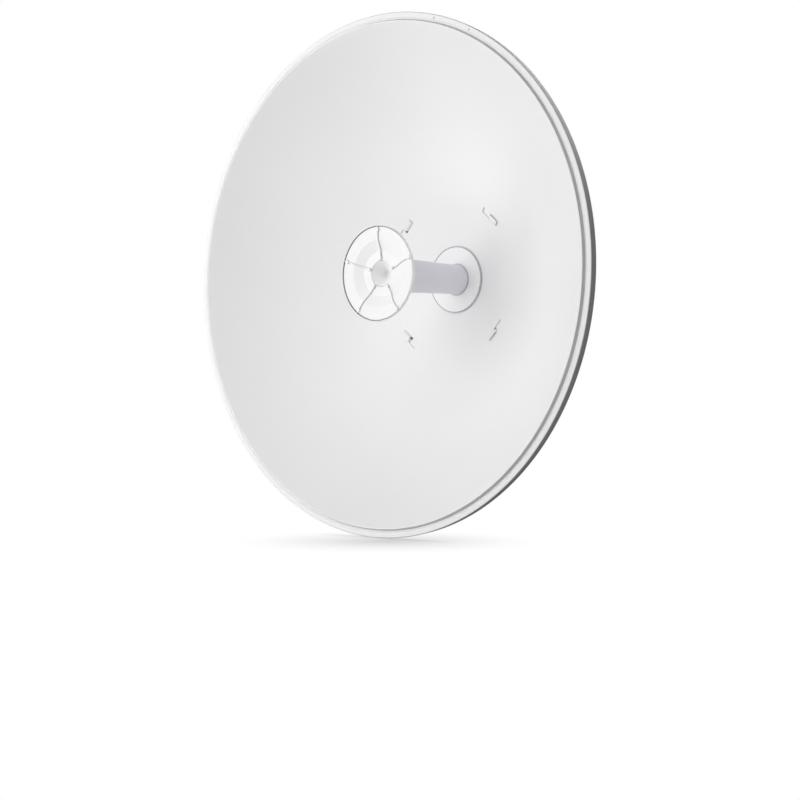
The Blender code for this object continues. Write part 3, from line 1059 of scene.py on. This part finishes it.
class DISH_OT_feed(bpy.types.Operator):
    """Turns the base disc, the tube, the cone and the plug of the feed"""

    bl_idname = "dish.feed"
    bl_label = "Feed"

    def execute(self, context):
        reach = GAP + BASE_DISC_THICKNESS
        rim = BASE_DISC_RADIUS
        seam, level = TUBE_SEAM_RADIUS, behind_bowl(20.0, -reach)
        disc = [(0.0, behind_bowl(0.0, -reach)), (seam, level), (seam, level + TUBE_SEAM, 0.08)]
        disc += [(seam + TUBE_SEAM, level + TUBE_SEAM, 0.08), (seam + TUBE_SEAM, level, 0.1)]
        disc += [(radius, behind_bowl(radius, -reach)) for radius in (24.0, 28.0, 32.0, 37.0)]
        disc += [(rim - 1.3, behind_bowl(rim, -reach), 0.1), (rim - 1.3, behind_bowl(rim, -0.5))]
        disc += [(rim - 0.4, behind_bowl(rim, -0.5)), (rim - 0.4, behind_bowl(rim, -reach), 0.1)]
        disc += [(rim, behind_bowl(rim, -reach), 0.15)]
        disc += [(rim, behind_bowl(rim, -GAP - 0.7), 0.1)]
        disc += [(rim - 1.6, behind_bowl(rim, -GAP - 0.7) + 0.4, 0.1)]
        disc += [(rim - 1.6, behind_bowl(rim - 1.6, -TOUCH))]
        disc += [(radius, behind_bowl(radius, -TOUCH)) for radius in (37.0, 30.0, 24.0)]
        disc += [(NECK_RADIUS, behind_bowl(NECK_RADIUS, -TOUCH), 0.2)]
        disc += [(NECK_RADIUS, NECK_END, 0.8), (0.0, NECK_END)]
        work = turned(rounded(disc), TURNED_STEPS, False)
        dress(new_object("feed_base_moulding", work), "white_plastic", "feed_base")
        foot = TUBE_BASE_RADIUS
        tube = [(0.0, TUBE_FRONT), (TUBE_FRONT_RADIUS, TUBE_FRONT, 0.5), (foot, 138.0, 20.0)]
        tube += [(seam - 0.3, TUBE_BASE, 0.2), (0.0, TUBE_BASE)]
        work = turned(rounded(tube), TURNED_STEPS, False)
        dress(new_object("feed_tube_moulding", work), "tube_plastic", "feed_tube")
        cone = [(0.0, 19.0), (16.6, 19.0, 0.3), (16.6, 15.5, 0.3), (20.4, 15.4, 0.8)]
        cone += [(21.9, 8.4, 0.8), (30.4, 7.6, 3.0), (43.0, 2.5, 1.0), (45.0, 3.2, 0.8)]
        cone += [(24.0, 35.0, 14.0), (22.4, TUBE_FRONT - GAP, 0.6), (0.0, TUBE_FRONT - GAP)]
        work = turned(rounded(cone), TURNED_STEPS, False)
        dress(new_object("feed_cone_moulding", work), "white_plastic", "feed_cone")
        pit = [(0.0, 17.6), (1.6, 17.3, 0.6), (15.3, 5.7, 0.4), (16.1, 5.7, 0.2)]
        pit += [(16.1, 18.7), (0.0, 18.7)]
        work = turned(rounded(pit), 96, False)
        plug = new_object("feed_plug_moulding", work)
        # The plug's pit carries a deeper painted shade.
        plug.data.materials.append(look("pit_shade_plastic"))
        dress(plug, "white_plastic", "feed_nose")
        return {"FINISHED"}


def rib_frame(turn):
    """Placing at a rib: out along it, backwards and to its side."""
    across = Vector((math.cos(turn), 0.0, -math.sin(turn)))

    def place(radius, depth, side):
        return spot(radius, depth, turn) + across * side * MM

    return place


class DISH_OT_sub_reflector(bpy.types.Operator):
    """Turns the small reflector and joins its five ribs and their bosses to it"""

    bl_idname = "dish.sub_reflector"
    bl_label = "Sub-reflector"

    def execute(self, context):
        front = [(16.4, 15.0), (16.4, 5.2, 0.4), (28.7, 5.0, 0.8), (42.0, -0.1, 1.0)]
        front += [(55.6, -1.1, 0.8), (57.9, -1.7, 0.2), (57.9, 0.0, 0.1), (59.1, 0.0, 0.1)]
        front += [(59.1, -2.7, 0.15), (59.8, -2.7, 0.2)]
        back = [(59.8, 0.6, 0.5), (56.6, 1.3, 0.5), (43.4, 1.9, 1.5), (30.0, 7.2, 1.5)]
        back += [(21.0, 8.0, 0.5), (19.0, 15.0, 0.3)]
        work = turned(rounded(front + back), TURNED_STEPS, True)
        disc = new_object("sub_reflector_moulding", work)
        top = [(17.0, 3.0, 0.6), (29.2, 2.8, 1.0), (42.6, -2.2, 1.0), (54.6, -2.6, 0.5)]
        top += [(58.9, -2.6)]
        root = [(58.9, -0.8), (55.6, -0.2), (41.8, 0.9), (28.9, 6.0), (17.2, 6.2)]
        half = RIB_THICKNESS / 2.0
        shapes = []
        for index in range(RIB_COUNT):
            place = rib_frame(math.tau * index / RIB_COUNT)

            def boss_place(side, radius, depth, place=place):
                return place(radius, depth, side)

            shapes.append(extruded(rounded(top + root), -half, half, place, RIB_EDGE))
            for radius, high, low, size in BOSSES:
                outline = circle(0.0, radius, size, 20)
                shapes.append(extruded(outline, high, low, boss_place, RIB_EDGE))
        combine(disc, "UNION", *shapes)
        dress(disc, "white_plastic", "sub_reflector")
        return {"FINISHED"}


def fluted(low, high, count, depth):
    """A ring of shallow grip flutes between two depths, on the outer wall only."""

    def flute(radius, level, turn):
        inside = low <= level <= high and radius > GRIP_INNER
        wave = 0.5 + 0.5 * math.cos(count * turn)
        return depth * wave**2 if inside else 0.0

    return flute


def threaded(level, turn, pitch):
    """How deep a thread is cut at this point, from 0 on its crest to 1 in its root."""
    phase = (level / pitch - turn / math.tau) % 1.0
    return max(0.0, min(1.0, 1.25 - abs(2.0 * phase - 1.0) * 1.5))


def around(matrix, rows, count, work, closed):
    """Rings about a fastener's axis: each row gives radius and level for a turn."""
    rings = []
    for row in rows:
        ring = []
        for step in range(count):
            turn = math.tau * step / count
            radius, level = row(turn)
            place = Vector((radius * math.cos(turn), radius * math.sin(turn), level)) * MM
            ring.append(work.verts.new(matrix @ place))
            if radius == 0.0:
                break
        rings.append(ring)
    join_rings(work, rings, closed)


def axis_frame(origin, axis):
    """Placing whose Z runs from an origin in millimetres along an axis."""
    facing = Vector(axis).to_track_quat("Z", "Y").to_matrix().to_4x4()
    return Matrix.Translation(Vector(origin) * MM) @ facing


def plain_row(radius, level):
    """A round edge of a fastener."""

    def row(turn):
        return radius, level

    return row


def hexagon_row(flat, level, way, chamfer=0.0):
    """A hexagon's edge, drawn towards level's far side where a chamfer cuts its corners."""

    def row(turn):
        off_corner = turn % (math.pi / 3.0) - math.pi / 6.0
        reach = flat / math.cos(off_corner)
        drop = max(0.0, reach - chamfer) * math.tan(math.radians(30.0)) if chamfer else 0.0
        return reach, level + way * drop

    return row


def thread_row(level, start, end, radius=BOLT_RADIUS, depth=THREAD_DEPTH, pitch=THREAD_PITCH):
    """An edge of a thread that runs in over one turn and tapers at the tip."""

    def row(turn):
        fade = max(0.0, min(1.0, (level - start) / pitch))
        tip = max(0.0, level - (end - 0.8))
        return radius - max(depth * fade * threaded(level, turn, pitch), tip * 0.9), level

    return row


def thread_rows(start, end, **sizes):
    """Eight edges for each turn of a thread."""
    pitch = sizes.get("pitch", THREAD_PITCH)
    count = max(2, round((end - start) / pitch * 8.0))
    return [thread_row(level, start, end, **sizes) for level in steps_between(start, end, count)]


def washer(matrix, low, thickness, work):
    """Adds a plain washer that starts at this level."""
    outer, inner = WASHER_RADIUS, BOLT_HOLE_RADIUS
    high = low + thickness
    corners = [(inner, low, 0.15), (outer, low, 0.25), (outer, high, 0.35), (inner, high, 0.15)]
    around(matrix, [plain_row(*point) for point in rounded(corners)], 48, work, True)


def bolt_piece(name, origin, axis, length, thread_start):
    """A hexagon bolt on its washer: origin is the seat and axis points down the shank."""
    thickness = bpy.context.scene.dish_sizes.washer
    matrix = axis_frame(origin, axis)
    work = bmesh.new()
    seat = GAP - TOUCH - thickness
    top = seat - HEAD_HEIGHT
    chamfer = HEX_FLAT * 0.95
    rows = [plain_row(0.0, top), plain_row(chamfer, top)]
    rows += [hexagon_row(HEX_FLAT, top, 1.0, chamfer), hexagon_row(HEX_FLAT, seat - 0.3, 1.0)]
    rows += [plain_row(HEX_FLAT * 0.97, seat - 0.3), plain_row(HEX_FLAT * 0.97, seat - TOUCH)]
    rows += [plain_row(BOLT_RADIUS, seat - TOUCH)]
    rows += thread_rows(thread_start, length)
    rows += [plain_row(0.0, length)]
    around(matrix, rows, 36, work, False)
    washer(matrix, seat, thickness, work)
    return new_object(name, work)


def nut_piece(name, origin, axis):
    """A hexagon nut on its washer: origin is the seat and axis points away from it."""
    thickness = bpy.context.scene.dish_sizes.washer
    matrix = axis_frame(origin, axis)
    work = bmesh.new()
    low = thickness - GAP + 2.0 * TOUCH
    high = low + NUT_HEIGHT
    chamfer = HEX_FLAT * 0.95
    bore = BOLT_RADIUS + 0.05
    rows = [plain_row(bore, low + 0.5), plain_row(bore + 0.5, low), plain_row(chamfer, low)]
    rows += [hexagon_row(HEX_FLAT, low, 1.0, chamfer), hexagon_row(HEX_FLAT, high, -1.0, chamfer)]
    rows += [plain_row(chamfer, high), plain_row(bore + 0.5, high), plain_row(bore, high - 0.5)]
    around(matrix, rows, 36, work, True)
    washer(matrix, TOUCH - GAP, thickness, work)
    return new_object(name, work)


class DISH_OT_feed_rear(bpy.types.Operator):
    """Makes the grip ring, the rear cap and the two signal sockets"""

    bl_idname = "dish.feed_rear"
    bl_label = "Feed rear"

    def execute(self, context):
        rim = LOCK_RING_RADIUS
        ring = [(19.1, 153.05, 0.3), (rim, 153.05, 0.5), (rim, 155.0), (rim, 159.6)]
        ring += [(rim, 162.0, 1.2), (19.1, 162.0, 0.3)]
        work = turned(rounded(ring), 192, True, fluted(154.9, 160.0, 24, 1.1))
        dress(new_object("grip_ring", work), "white_plastic", "feed_lock_ring")
        start, rim, end = NECK_END + TOUCH, REAR_CAP_RADIUS, REAR_CAP_END
        cap = [(0.0, start), (rim, start, 0.5), (rim, 172.5), (rim, 182.6)]
        cap += [(rim, end, 1.6), (0.0, end)]
        work = turned(rounded(cap), 192, False, fluted(172.4, 182.7, 32, 0.8))
        dress(new_object("ribbed_rear_cap", work), "white_plastic", "feed_rear_cap")
        for side, x in (("left", -SOCKET_X), ("right", SOCKET_X)):
            self.socket(side, x)
        return {"FINISHED"}

    def socket(self, side, x):
        """A threaded socket with a hexagon foot, a white insert and a contact in it."""
        matrix = axis_frame((x, FLANGE_Y + SOCKET_START - GAP + TOUCH, 0.0), (0, 1, 0))
        flat, foot, end, bore = 7.4, 4.3, 17.3, 4.2
        work = bmesh.new()
        rows = [plain_row(0.0, 0.0), plain_row(flat, 0.0), hexagon_row(flat, 0.35, 1.0)]
        rows += [hexagon_row(flat, foot, -1.0, flat), plain_row(flat * 0.98, foot)]
        rows += [plain_row(5.6, foot), plain_row(5.6, foot + 1.2)]
        rows += thread_rows(foot + 1.2, end - 0.2, radius=6.2, depth=0.45, pitch=0.9)
        rows += [plain_row(5.2, end), plain_row(bore + 0.3, end), plain_row(bore, end - 0.3)]
        rows += [plain_row(bore, end - 6.0), plain_row(0.0, end - 6.0)]
        around(matrix, rows, 48, work, False)
        socket = new_object(f"threaded_socket_{side}", work)
        dress(socket, "nickel", f"signal_socket_{side}")
        work = bmesh.new()
        low = end - 6.0 + TOUCH
        rows = [plain_row(0.0, low), plain_row(bore - 0.1, low), plain_row(bore - 0.1, low + 1.6)]
        rows += [plain_row(1.5, low + 1.6), plain_row(1.5, low + 2.2), plain_row(0.0, low + 2.2)]
        around(matrix, rows, 32, work, False)
        insert = new_object(f"socket_insert_{side}", work)
        insert.data.materials.append(look("socket_insert"))
        dress(insert, "nickel")
        work = bmesh.new()
        rows = [plain_row(0.0, low + 2.2), plain_row(0.85, low + 2.2), plain_row(0.85, low + 4.6)]
        rows += [plain_row(0.6, low + 4.8), plain_row(0.4, low + 4.8), plain_row(0.4, low + 3.0)]
        rows += [plain_row(0.0, low + 3.0)]
        around(matrix, rows, 20, work, False)
        dress(new_object(f"socket_contact_{side}", work), "nickel")


def channel(half_width, near, far, sheet, bend):
    """A folded U seen from above: its web lies at near and its legs reach to far."""
    inner = half_width - sheet
    step = math.copysign(sheet, far - near)
    return rounded(
        (
            (-half_width, near, bend + sheet),
            (half_width, near, bend + sheet),
            (half_width, far),
            (inner, far),
            (inner, near + step, bend),
            (-inner, near + step, bend),
            (-inner, far),
            (-half_width, far),
        )
    )


def side_hole(y, z):
    """A bolt hole through both ears of a bracket."""
    return extruded(circle(y, z, BOLT_HOLE_RADIUS), -FAR, FAR, along_x)


def arc_band(reach_out, reach_in, half_angle, steps):
    """An outline round the pivot, between two radii."""
    outline = []
    for reach, order in ((reach_out, range(steps + 1)), (reach_in, range(steps, -1, -1))):
        for step in order:
            turn = math.radians(half_angle * (2.0 * step / steps - 1.0))
            outline.append((PIVOT_Y + reach * math.sin(turn), PIVOT_Z + reach * math.cos(turn)))
    return outline


class DISH_OT_dish_bracket(bpy.types.Operator):
    """Folds the bracket on the dish and engraves its tilt scale"""

    bl_idname = "dish.dish_bracket"
    bl_label = "Dish bracket"

    def execute(self, context):
        sizes = context.scene.dish_sizes
        outline = channel(DISH_EAR_OUTER, PLATE_Y, DISH_EAR_END, BRACKET_SHEET, sizes.bend_radius)
        item = new_object("folded_dish_bracket", extruded(outline, -FOLD_SPAN, FOLD_SPAN, along_z))
        side = (
            (PLATE_Y - 5.0, -52.0),
            (PLATE_Y + 22.0, -52.0, 14.0),
            (DISH_EAR_END - 12.0, -42.0, 6.0),
            (DISH_EAR_END, -32.0, 8.0),
            (DISH_EAR_END, 36.0, 6.0),
            (DISH_EAR_END - 10.0, 46.0, 6.0),
            (PLATE_Y + 22.0, 52.0, 14.0),
            (PLATE_Y - 5.0, 52.0),
        )
        combine(item, "INTERSECT", extruded(rounded(side), -FAR, FAR, along_x))
        holes = [circle(0.0, 0.0, CABLE_HOLE_RADIUS, 64)]
        holes += [circle(x, z, BOLT_HOLE_RADIUS) for x, z in hub_bolt_spots()]
        front, back = PLATE_Y - 3.0, PLATE_Y + 6.0
        cutters = [extruded(hole, front, back, along_y) for hole in holes]
        cutters.append(side_hole(PIVOT_Y, PIVOT_Z))
        radius = LOCK_Z - PIVOT_Z
        half_slot = BOLT_HOLE_RADIUS + 0.1
        slot_outline = arc_band(radius + half_slot, radius - half_slot, ARC_HALF_ANGLE, 24)
        cutters.append(extruded(slot_outline, -FAR, FAR, along_x))
        combine(item, "DIFFERENCE", merged(cutters))
        soften(item, sizes.edge_break)
        combine(item, "DIFFERENCE", merged(self.scale_marks(radius - half_slot)))
        dress(item, "zinc_steel", "dish_bracket")
        return {"FINISHED"}

    def scale_marks(self, reach):
        """Short grooves every two degrees under the slot, longer every ten."""
        marks = []
        for step in range(-7, 8):
            turn = math.radians(SCALE_STEP * step)
            length = 4.5 if step % 5 == 0 else 2.8
            along = Vector((math.sin(turn), math.cos(turn)))
            across = Vector((math.cos(turn), -math.sin(turn))) * 0.25
            pivot = Vector((PIVOT_Y, PIVOT_Z))
            near = pivot + along * (reach - 1.2)
            far = pivot + along * (reach - 1.2 - length)
            outline = [tuple(p) for p in (near - across, near + across, far + across, far - across)]
            near_face, past_face = DISH_EAR_OUTER - SCALE_DEPTH, DISH_EAR_OUTER + 1.0
            for low, high in ((near_face, past_face), (-past_face, -near_face)):
                marks.append(extruded(outline, low, high, along_x))
        return marks


def toothed(start, end, count, depth):
    """Points of saw teeth from start to end, standing to the right of the way."""
    start = Vector(start)
    along = (Vector(end) - start) / count
    out = Vector((along.y, -along.x)).normalized() * depth
    points = []
    for step in range(count):
        points.append(tuple(start + along * step))
        points.append(tuple(start + along * (step + 0.5) + out))
    return points


class DISH_OT_mast_bracket(bpy.types.Operator):
    """Folds the bracket on the mast, with its toothed notch flanges"""

    bl_idname = "dish.mast_bracket"
    bl_label = "Mast bracket"

    def execute(self, context):
        sizes = context.scene.dish_sizes
        outline = channel(MAST_EAR_OUTER, 0.0, MAST_EAR_END, BRACKET_SHEET, sizes.bend_radius)
        item = new_object("folded_mast_bracket", extruded(outline, -FOLD_SPAN, FOLD_SPAN, along_z))
        high = MAST_HALF_HEIGHT
        side = (
            (5.0, -high),
            (-22.0, -high, 14.0),
            (MAST_EAR_END + 8.0, -44.0, 6.0),
            (MAST_EAR_END, -36.0, 6.0),
            (MAST_EAR_END, 36.0, 6.0),
            (MAST_EAR_END + 8.0, 44.0, 6.0),
            (-22.0, high, 14.0),
            (5.0, high),
        )
        combine(item, "INTERSECT", extruded(rounded(side), -FAR, FAR, along_x))
        reach = MAST_EAR_OUTER - sizes.bend_radius - BRACKET_SHEET
        half, far, bottom = NOTCH_HALF_WIDTH, NOTCH_REACH, (0.0, NOTCH_BOTTOM)
        shoulder = rounded([(reach, -2.0), (reach, 14.0, 8.0), (40.0, far, 3.0), (half, far)])
        notch = [(-reach, 0.1 - BRACKET_SHEET), (reach, 0.1 - BRACKET_SHEET)]
        notch += shoulder[1:]
        notch += toothed((half, far), bottom, NOTCH_TEETH, -TOOTH_DEPTH)[1:]
        notch += toothed(bottom, (-half, far), NOTCH_TEETH, -TOOTH_DEPTH)
        notch += [(-x, y) for x, y in shoulder[:0:-1]]
        flanges = []
        for low in (high - BRACKET_SHEET, -high):
            flanges.append(extruded(notch, low, low + BRACKET_SHEET, along_z))
        combine(item, "UNION", *flanges)
        cutters = [side_hole(PIVOT_Y, PIVOT_Z), side_hole(PIVOT_Y, LOCK_Z)]
        for x, z in clamp_bolt_spots():
            cutters.append(extruded(circle(x, z, BOLT_HOLE_RADIUS), -8.0, 5.0, along_y))
        combine(item, "DIFFERENCE", merged(cutters))
        soften(item, sizes.edge_break)
        dress(item, "zinc_steel", "mast_bracket")
        return {"FINISHED"}


class DISH_OT_clamp_jaws(bpy.types.Operator):
    """Folds the two toothed jaws that grip the mast"""

    bl_idname = "dish.clamp_jaws"
    bl_label = "Clamp jaws"

    def execute(self, context):
        sizes = context.scene.dish_sizes
        for name, middle in (("upper", JAW_Z), ("lower", -JAW_Z)):
            self.jaw(name, middle, sizes)
        return {"FINISHED"}

    def jaw(self, name, middle, sizes):
        """A folded channel with a toothed notch and two bolt holes."""
        half = JAW_HALF_HEIGHT
        inner = half - BRACKET_SHEET
        web = JAW_BACK - BRACKET_SHEET
        bend = sizes.bend_radius
        outline = rounded(
            (
                (JAW_BACK, middle - half, bend + BRACKET_SHEET),
                (JAW_BACK, middle + half, bend + BRACKET_SHEET),
                (JAW_FRONT, middle + half),
                (JAW_FRONT, middle + inner),
                (web, middle + inner, bend),
                (web, middle - inner, bend),
                (JAW_FRONT, middle - inner),
                (JAW_FRONT, middle - half),
            )
        )
        work = extruded(outline, -JAW_HALF_WIDTH, JAW_HALF_WIDTH, along_x)
        item = new_object(f"folded_jaw_{name}", work)
        depth = NOTCH_REACH - NOTCH_BOTTOM
        half_notch = NOTCH_HALF_WIDTH
        tip = (0.0, JAW_FRONT + depth)
        notch = [(half_notch + 3.0, JAW_FRONT - 2.2), (-half_notch - 3.0, JAW_FRONT - 2.2)]
        notch += toothed((-half_notch, JAW_FRONT), tip, NOTCH_TEETH, TOOTH_DEPTH)
        notch += toothed(tip, (half_notch, JAW_FRONT), NOTCH_TEETH, TOOTH_DEPTH)
        low = middle - half - 3.0
        cutters = [extruded(notch, low, low + 2.0 * half + 6.0, along_z)]
        for x in (-CLAMP_BOLT_X, CLAMP_BOLT_X):
            hole = circle(x, middle, BOLT_HOLE_RADIUS)
            cutters.append(extruded(hole, web - 3.0, JAW_BACK + 3.0, along_y))
        combine(item, "DIFFERENCE", *cutters)
        soften(item, sizes.edge_break * 0.75)
        dress(item, "zinc_steel", f"clamp_jaw_{name}")


class DISH_OT_fasteners(bpy.types.Operator):
    """Makes every bolt with its thread and washer, and every nut"""

    bl_idname = "dish.fasteners"
    bl_label = "Fasteners"

    def execute(self, context):
        seat = PLATE_Y + BRACKET_SHEET + GAP
        for index, (x, z) in enumerate(hub_bolt_spots()):
            name = f"hub_bolt_{index + 1}"
            self.bolt(name, (x, seat, z), (0, -1, 0), *HUB_BOLT)
        for side, way in (("left", -1), ("right", 1)):
            seat = way * (DISH_EAR_OUTER + GAP)
            inner = way * (MAST_EAR_OUTER - BRACKET_SHEET - GAP)
            for kind, z in (("pivot", PIVOT_Z), ("lock", LOCK_Z)):
                axis = (-way, 0, 0)
                self.bolt(f"{kind}_bolt_{side}", (seat, PIVOT_Y, z), axis, *EAR_BOLT)
                self.nut(f"{kind}_nut_{side}", (inner, PIVOT_Y, z), axis)
        seat = -BRACKET_SHEET - GAP
        for index, (x, z) in enumerate(clamp_bolt_spots()):
            length = CLAMP_BOLT_END - seat
            plain, axis = length - CLAMP_THREAD, (0, 1, 0)
            self.bolt(f"clamp_bolt_{index + 1}", (x, seat, z), axis, length, plain)
            self.nut(f"clamp_nut_{index + 1}", (x, JAW_BACK + GAP, z), axis)
        return {"FINISHED"}

    def bolt(self, node, origin, axis, length, thread_start):
        item = bolt_piece("threaded_" + node, origin, axis, length, thread_start)
        dress(item, "bolt_steel", node)

    def nut(self, node, origin, axis):
        dress(nut_piece("chamfered_" + node, origin, axis), "bolt_steel", node)


def away_from_dish(azimuth, elevation):
    """Unit vector from the dish: azimuth counts from straight in front, to the right."""
    side, rise = math.radians(azimuth), math.radians(elevation)
    level = math.cos(rise)
    return Vector((math.sin(side) * level, -math.cos(side) * level, math.sin(rise)))


def add_light(name, middle, azimuth, elevation, distance, size, power):
    """A square light that looks at the middle of the rim. The camera does not see it."""
    lamp = bpy.data.lights.new(name, "AREA")
    lamp.size = size
    lamp.energy = power
    away = away_from_dish(azimuth, elevation)
    item = bpy.data.objects.new(name, lamp)
    item.location = middle + away * distance
    item.rotation_euler = (-away).to_track_quat("-Z", "Y").to_euler()
    item.visible_camera = False
    bpy.context.scene.collection.objects.link(item)


class DISH_OT_stage(bpy.types.Operator):
    """Sets the floor, the lights, the sky and the camera"""

    bl_idname = "dish.stage"
    bl_label = "Stage"

    def execute(self, context):
        studio = context.scene.dish_studio
        middle = Vector((0.0, FLANGE_Y * MM, 0.0))
        self.camera(context.scene, studio, middle)
        self.lights(studio, middle)
        self.sky(context.scene, studio)
        self.floor()
        context.scene.view_settings.view_transform = "Standard"
        return {"FINISHED"}

    def camera(self, scene, studio, middle):
        """Looks at the middle of the rim, shifted to where the photograph has it."""
        away = away_from_dish(studio.azimuth, studio.elevation)
        data = bpy.data.cameras.new("photo_camera")
        data.sensor_width = 36.0
        data.lens = studio.focal_pixels * data.sensor_width / PHOTO_SIDE
        data.shift_x = 0.5 - RIM_MIDDLE_IN_PHOTO[0] / PHOTO_SIDE
        data.shift_y = RIM_MIDDLE_IN_PHOTO[1] / PHOTO_SIDE - 0.5
        item = bpy.data.objects.new("photo_camera", data)
        item.location = middle + away * studio.distance
        item.rotation_euler = (-away).to_track_quat("-Z", "Y").to_euler()
        scene.collection.objects.link(item)
        scene.camera = item

    def lights(self, studio, middle):
        """Near lights and far ones in front, and far ones behind."""
        add_light("key_light", middle, -28.6, 4.6, 1.26, 1.3, studio.key)
        add_light("fill_light", middle, -5.0, 30.0, 1.3, 1.5, studio.fill)
        add_light("side_light", middle, -65.0, 0.0, 1.3, 1.5, studio.fill * 0.36)
        for azimuth, elevation, share in FRONT_LIGHTS:
            name = f"front_light_{azimuth}_{elevation}"
            beam = (azimuth, elevation, FRONT_LIGHT_DISTANCE, FRONT_LIGHT_SIZE)
            add_light(name, middle, *beam, studio.bounce * share)
        for azimuth, elevation in REAR_LIGHTS:
            name = f"rear_light_{azimuth}_{elevation}"
            beam = (azimuth, elevation, REAR_LIGHT_DISTANCE, REAR_LIGHT_SIZE)
            add_light(name, middle, *beam, studio.rear)

    def sky(self, scene, studio):
        """White behind the dish for the camera, and a dim even light for everything else."""
        world = bpy.data.worlds.new("studio_sky")
        world.use_nodes = True
        scene.world = world
        tree = world.node_tree
        back = tree.nodes["Background"]
        seen = tree.nodes.new("ShaderNodeLightPath")
        strength = tree.nodes.new("ShaderNodeMix")
        strength.inputs[2].default_value = studio.ambient
        strength.inputs[3].default_value = 1.0
        tree.links.new(seen.outputs["Is Camera Ray"], strength.inputs[0])
        tree.links.new(strength.outputs[0], back.inputs["Strength"])
        back.inputs["Color"].default_value = WHITE

    def floor(self):
        """Pale floor under the rim, which sends no light to the dish."""
        work = bmesh.new()
        bmesh.ops.create_grid(work, x_segments=8, y_segments=8, size=FLOOR_HALF_SIDE)
        floor = new_object("studio_floor", work)
        floor.location.z = -RIM_RADIUS * MM
        floor.data.materials.append(floor_finish("floor_finish"))
        floor.visible_diffuse = False
        floor.visible_glossy = False
        floor.visible_shadow = False


class DISH_PT_panel(bpy.types.Panel):
    """Lists the pieces and their sizes"""

    bl_idname = "DISH_PT_panel"
    bl_label = "Dish antenna"
    bl_space_type = "VIEW_3D"
    bl_region_type = "UI"
    bl_category = "Dish"

    def draw(self, context):
        scene = context.scene
        for group in (scene.dish_sizes, scene.dish_finishes, scene.dish_studio):
            box = self.layout.box()
            for name in group.__annotations__:
                box.prop(group, name)
        for operator in OPERATORS:
            self.layout.operator(operator.bl_idname)


GROUPS = {"dish_sizes": DishSizes, "dish_finishes": DishFinishes, "dish_studio": DishStudio}
OPERATORS = (
    DISH_OT_reflector,
    DISH_OT_hub_plate,
    DISH_OT_hooks,
    DISH_OT_feed,
    DISH_OT_sub_reflector,
    DISH_OT_feed_rear,
    DISH_OT_dish_bracket,
    DISH_OT_mast_bracket,
    DISH_OT_clamp_jaws,
    DISH_OT_fasteners,
    DISH_OT_stage,
)


def register():
    for name, group in GROUPS.items():
        bpy.utils.register_class(group)
        setattr(bpy.types.Scene, name, PointerProperty(type=group))
    for item in (*OPERATORS, DISH_PT_panel):
        bpy.utils.register_class(item)


def unregister():
    for item in reversed((*OPERATORS, DISH_PT_panel)):
        bpy.utils.unregister_class(item)
    for name, group in GROUPS.items():
        delattr(bpy.types.Scene, name)
        bpy.utils.unregister_class(group)


def main():
    register()
    for operator in OPERATORS:
        group, name = operator.bl_idname.split(".")
        getattr(getattr(bpy.ops, group), name)()


if __name__ == "__main__":
    main()
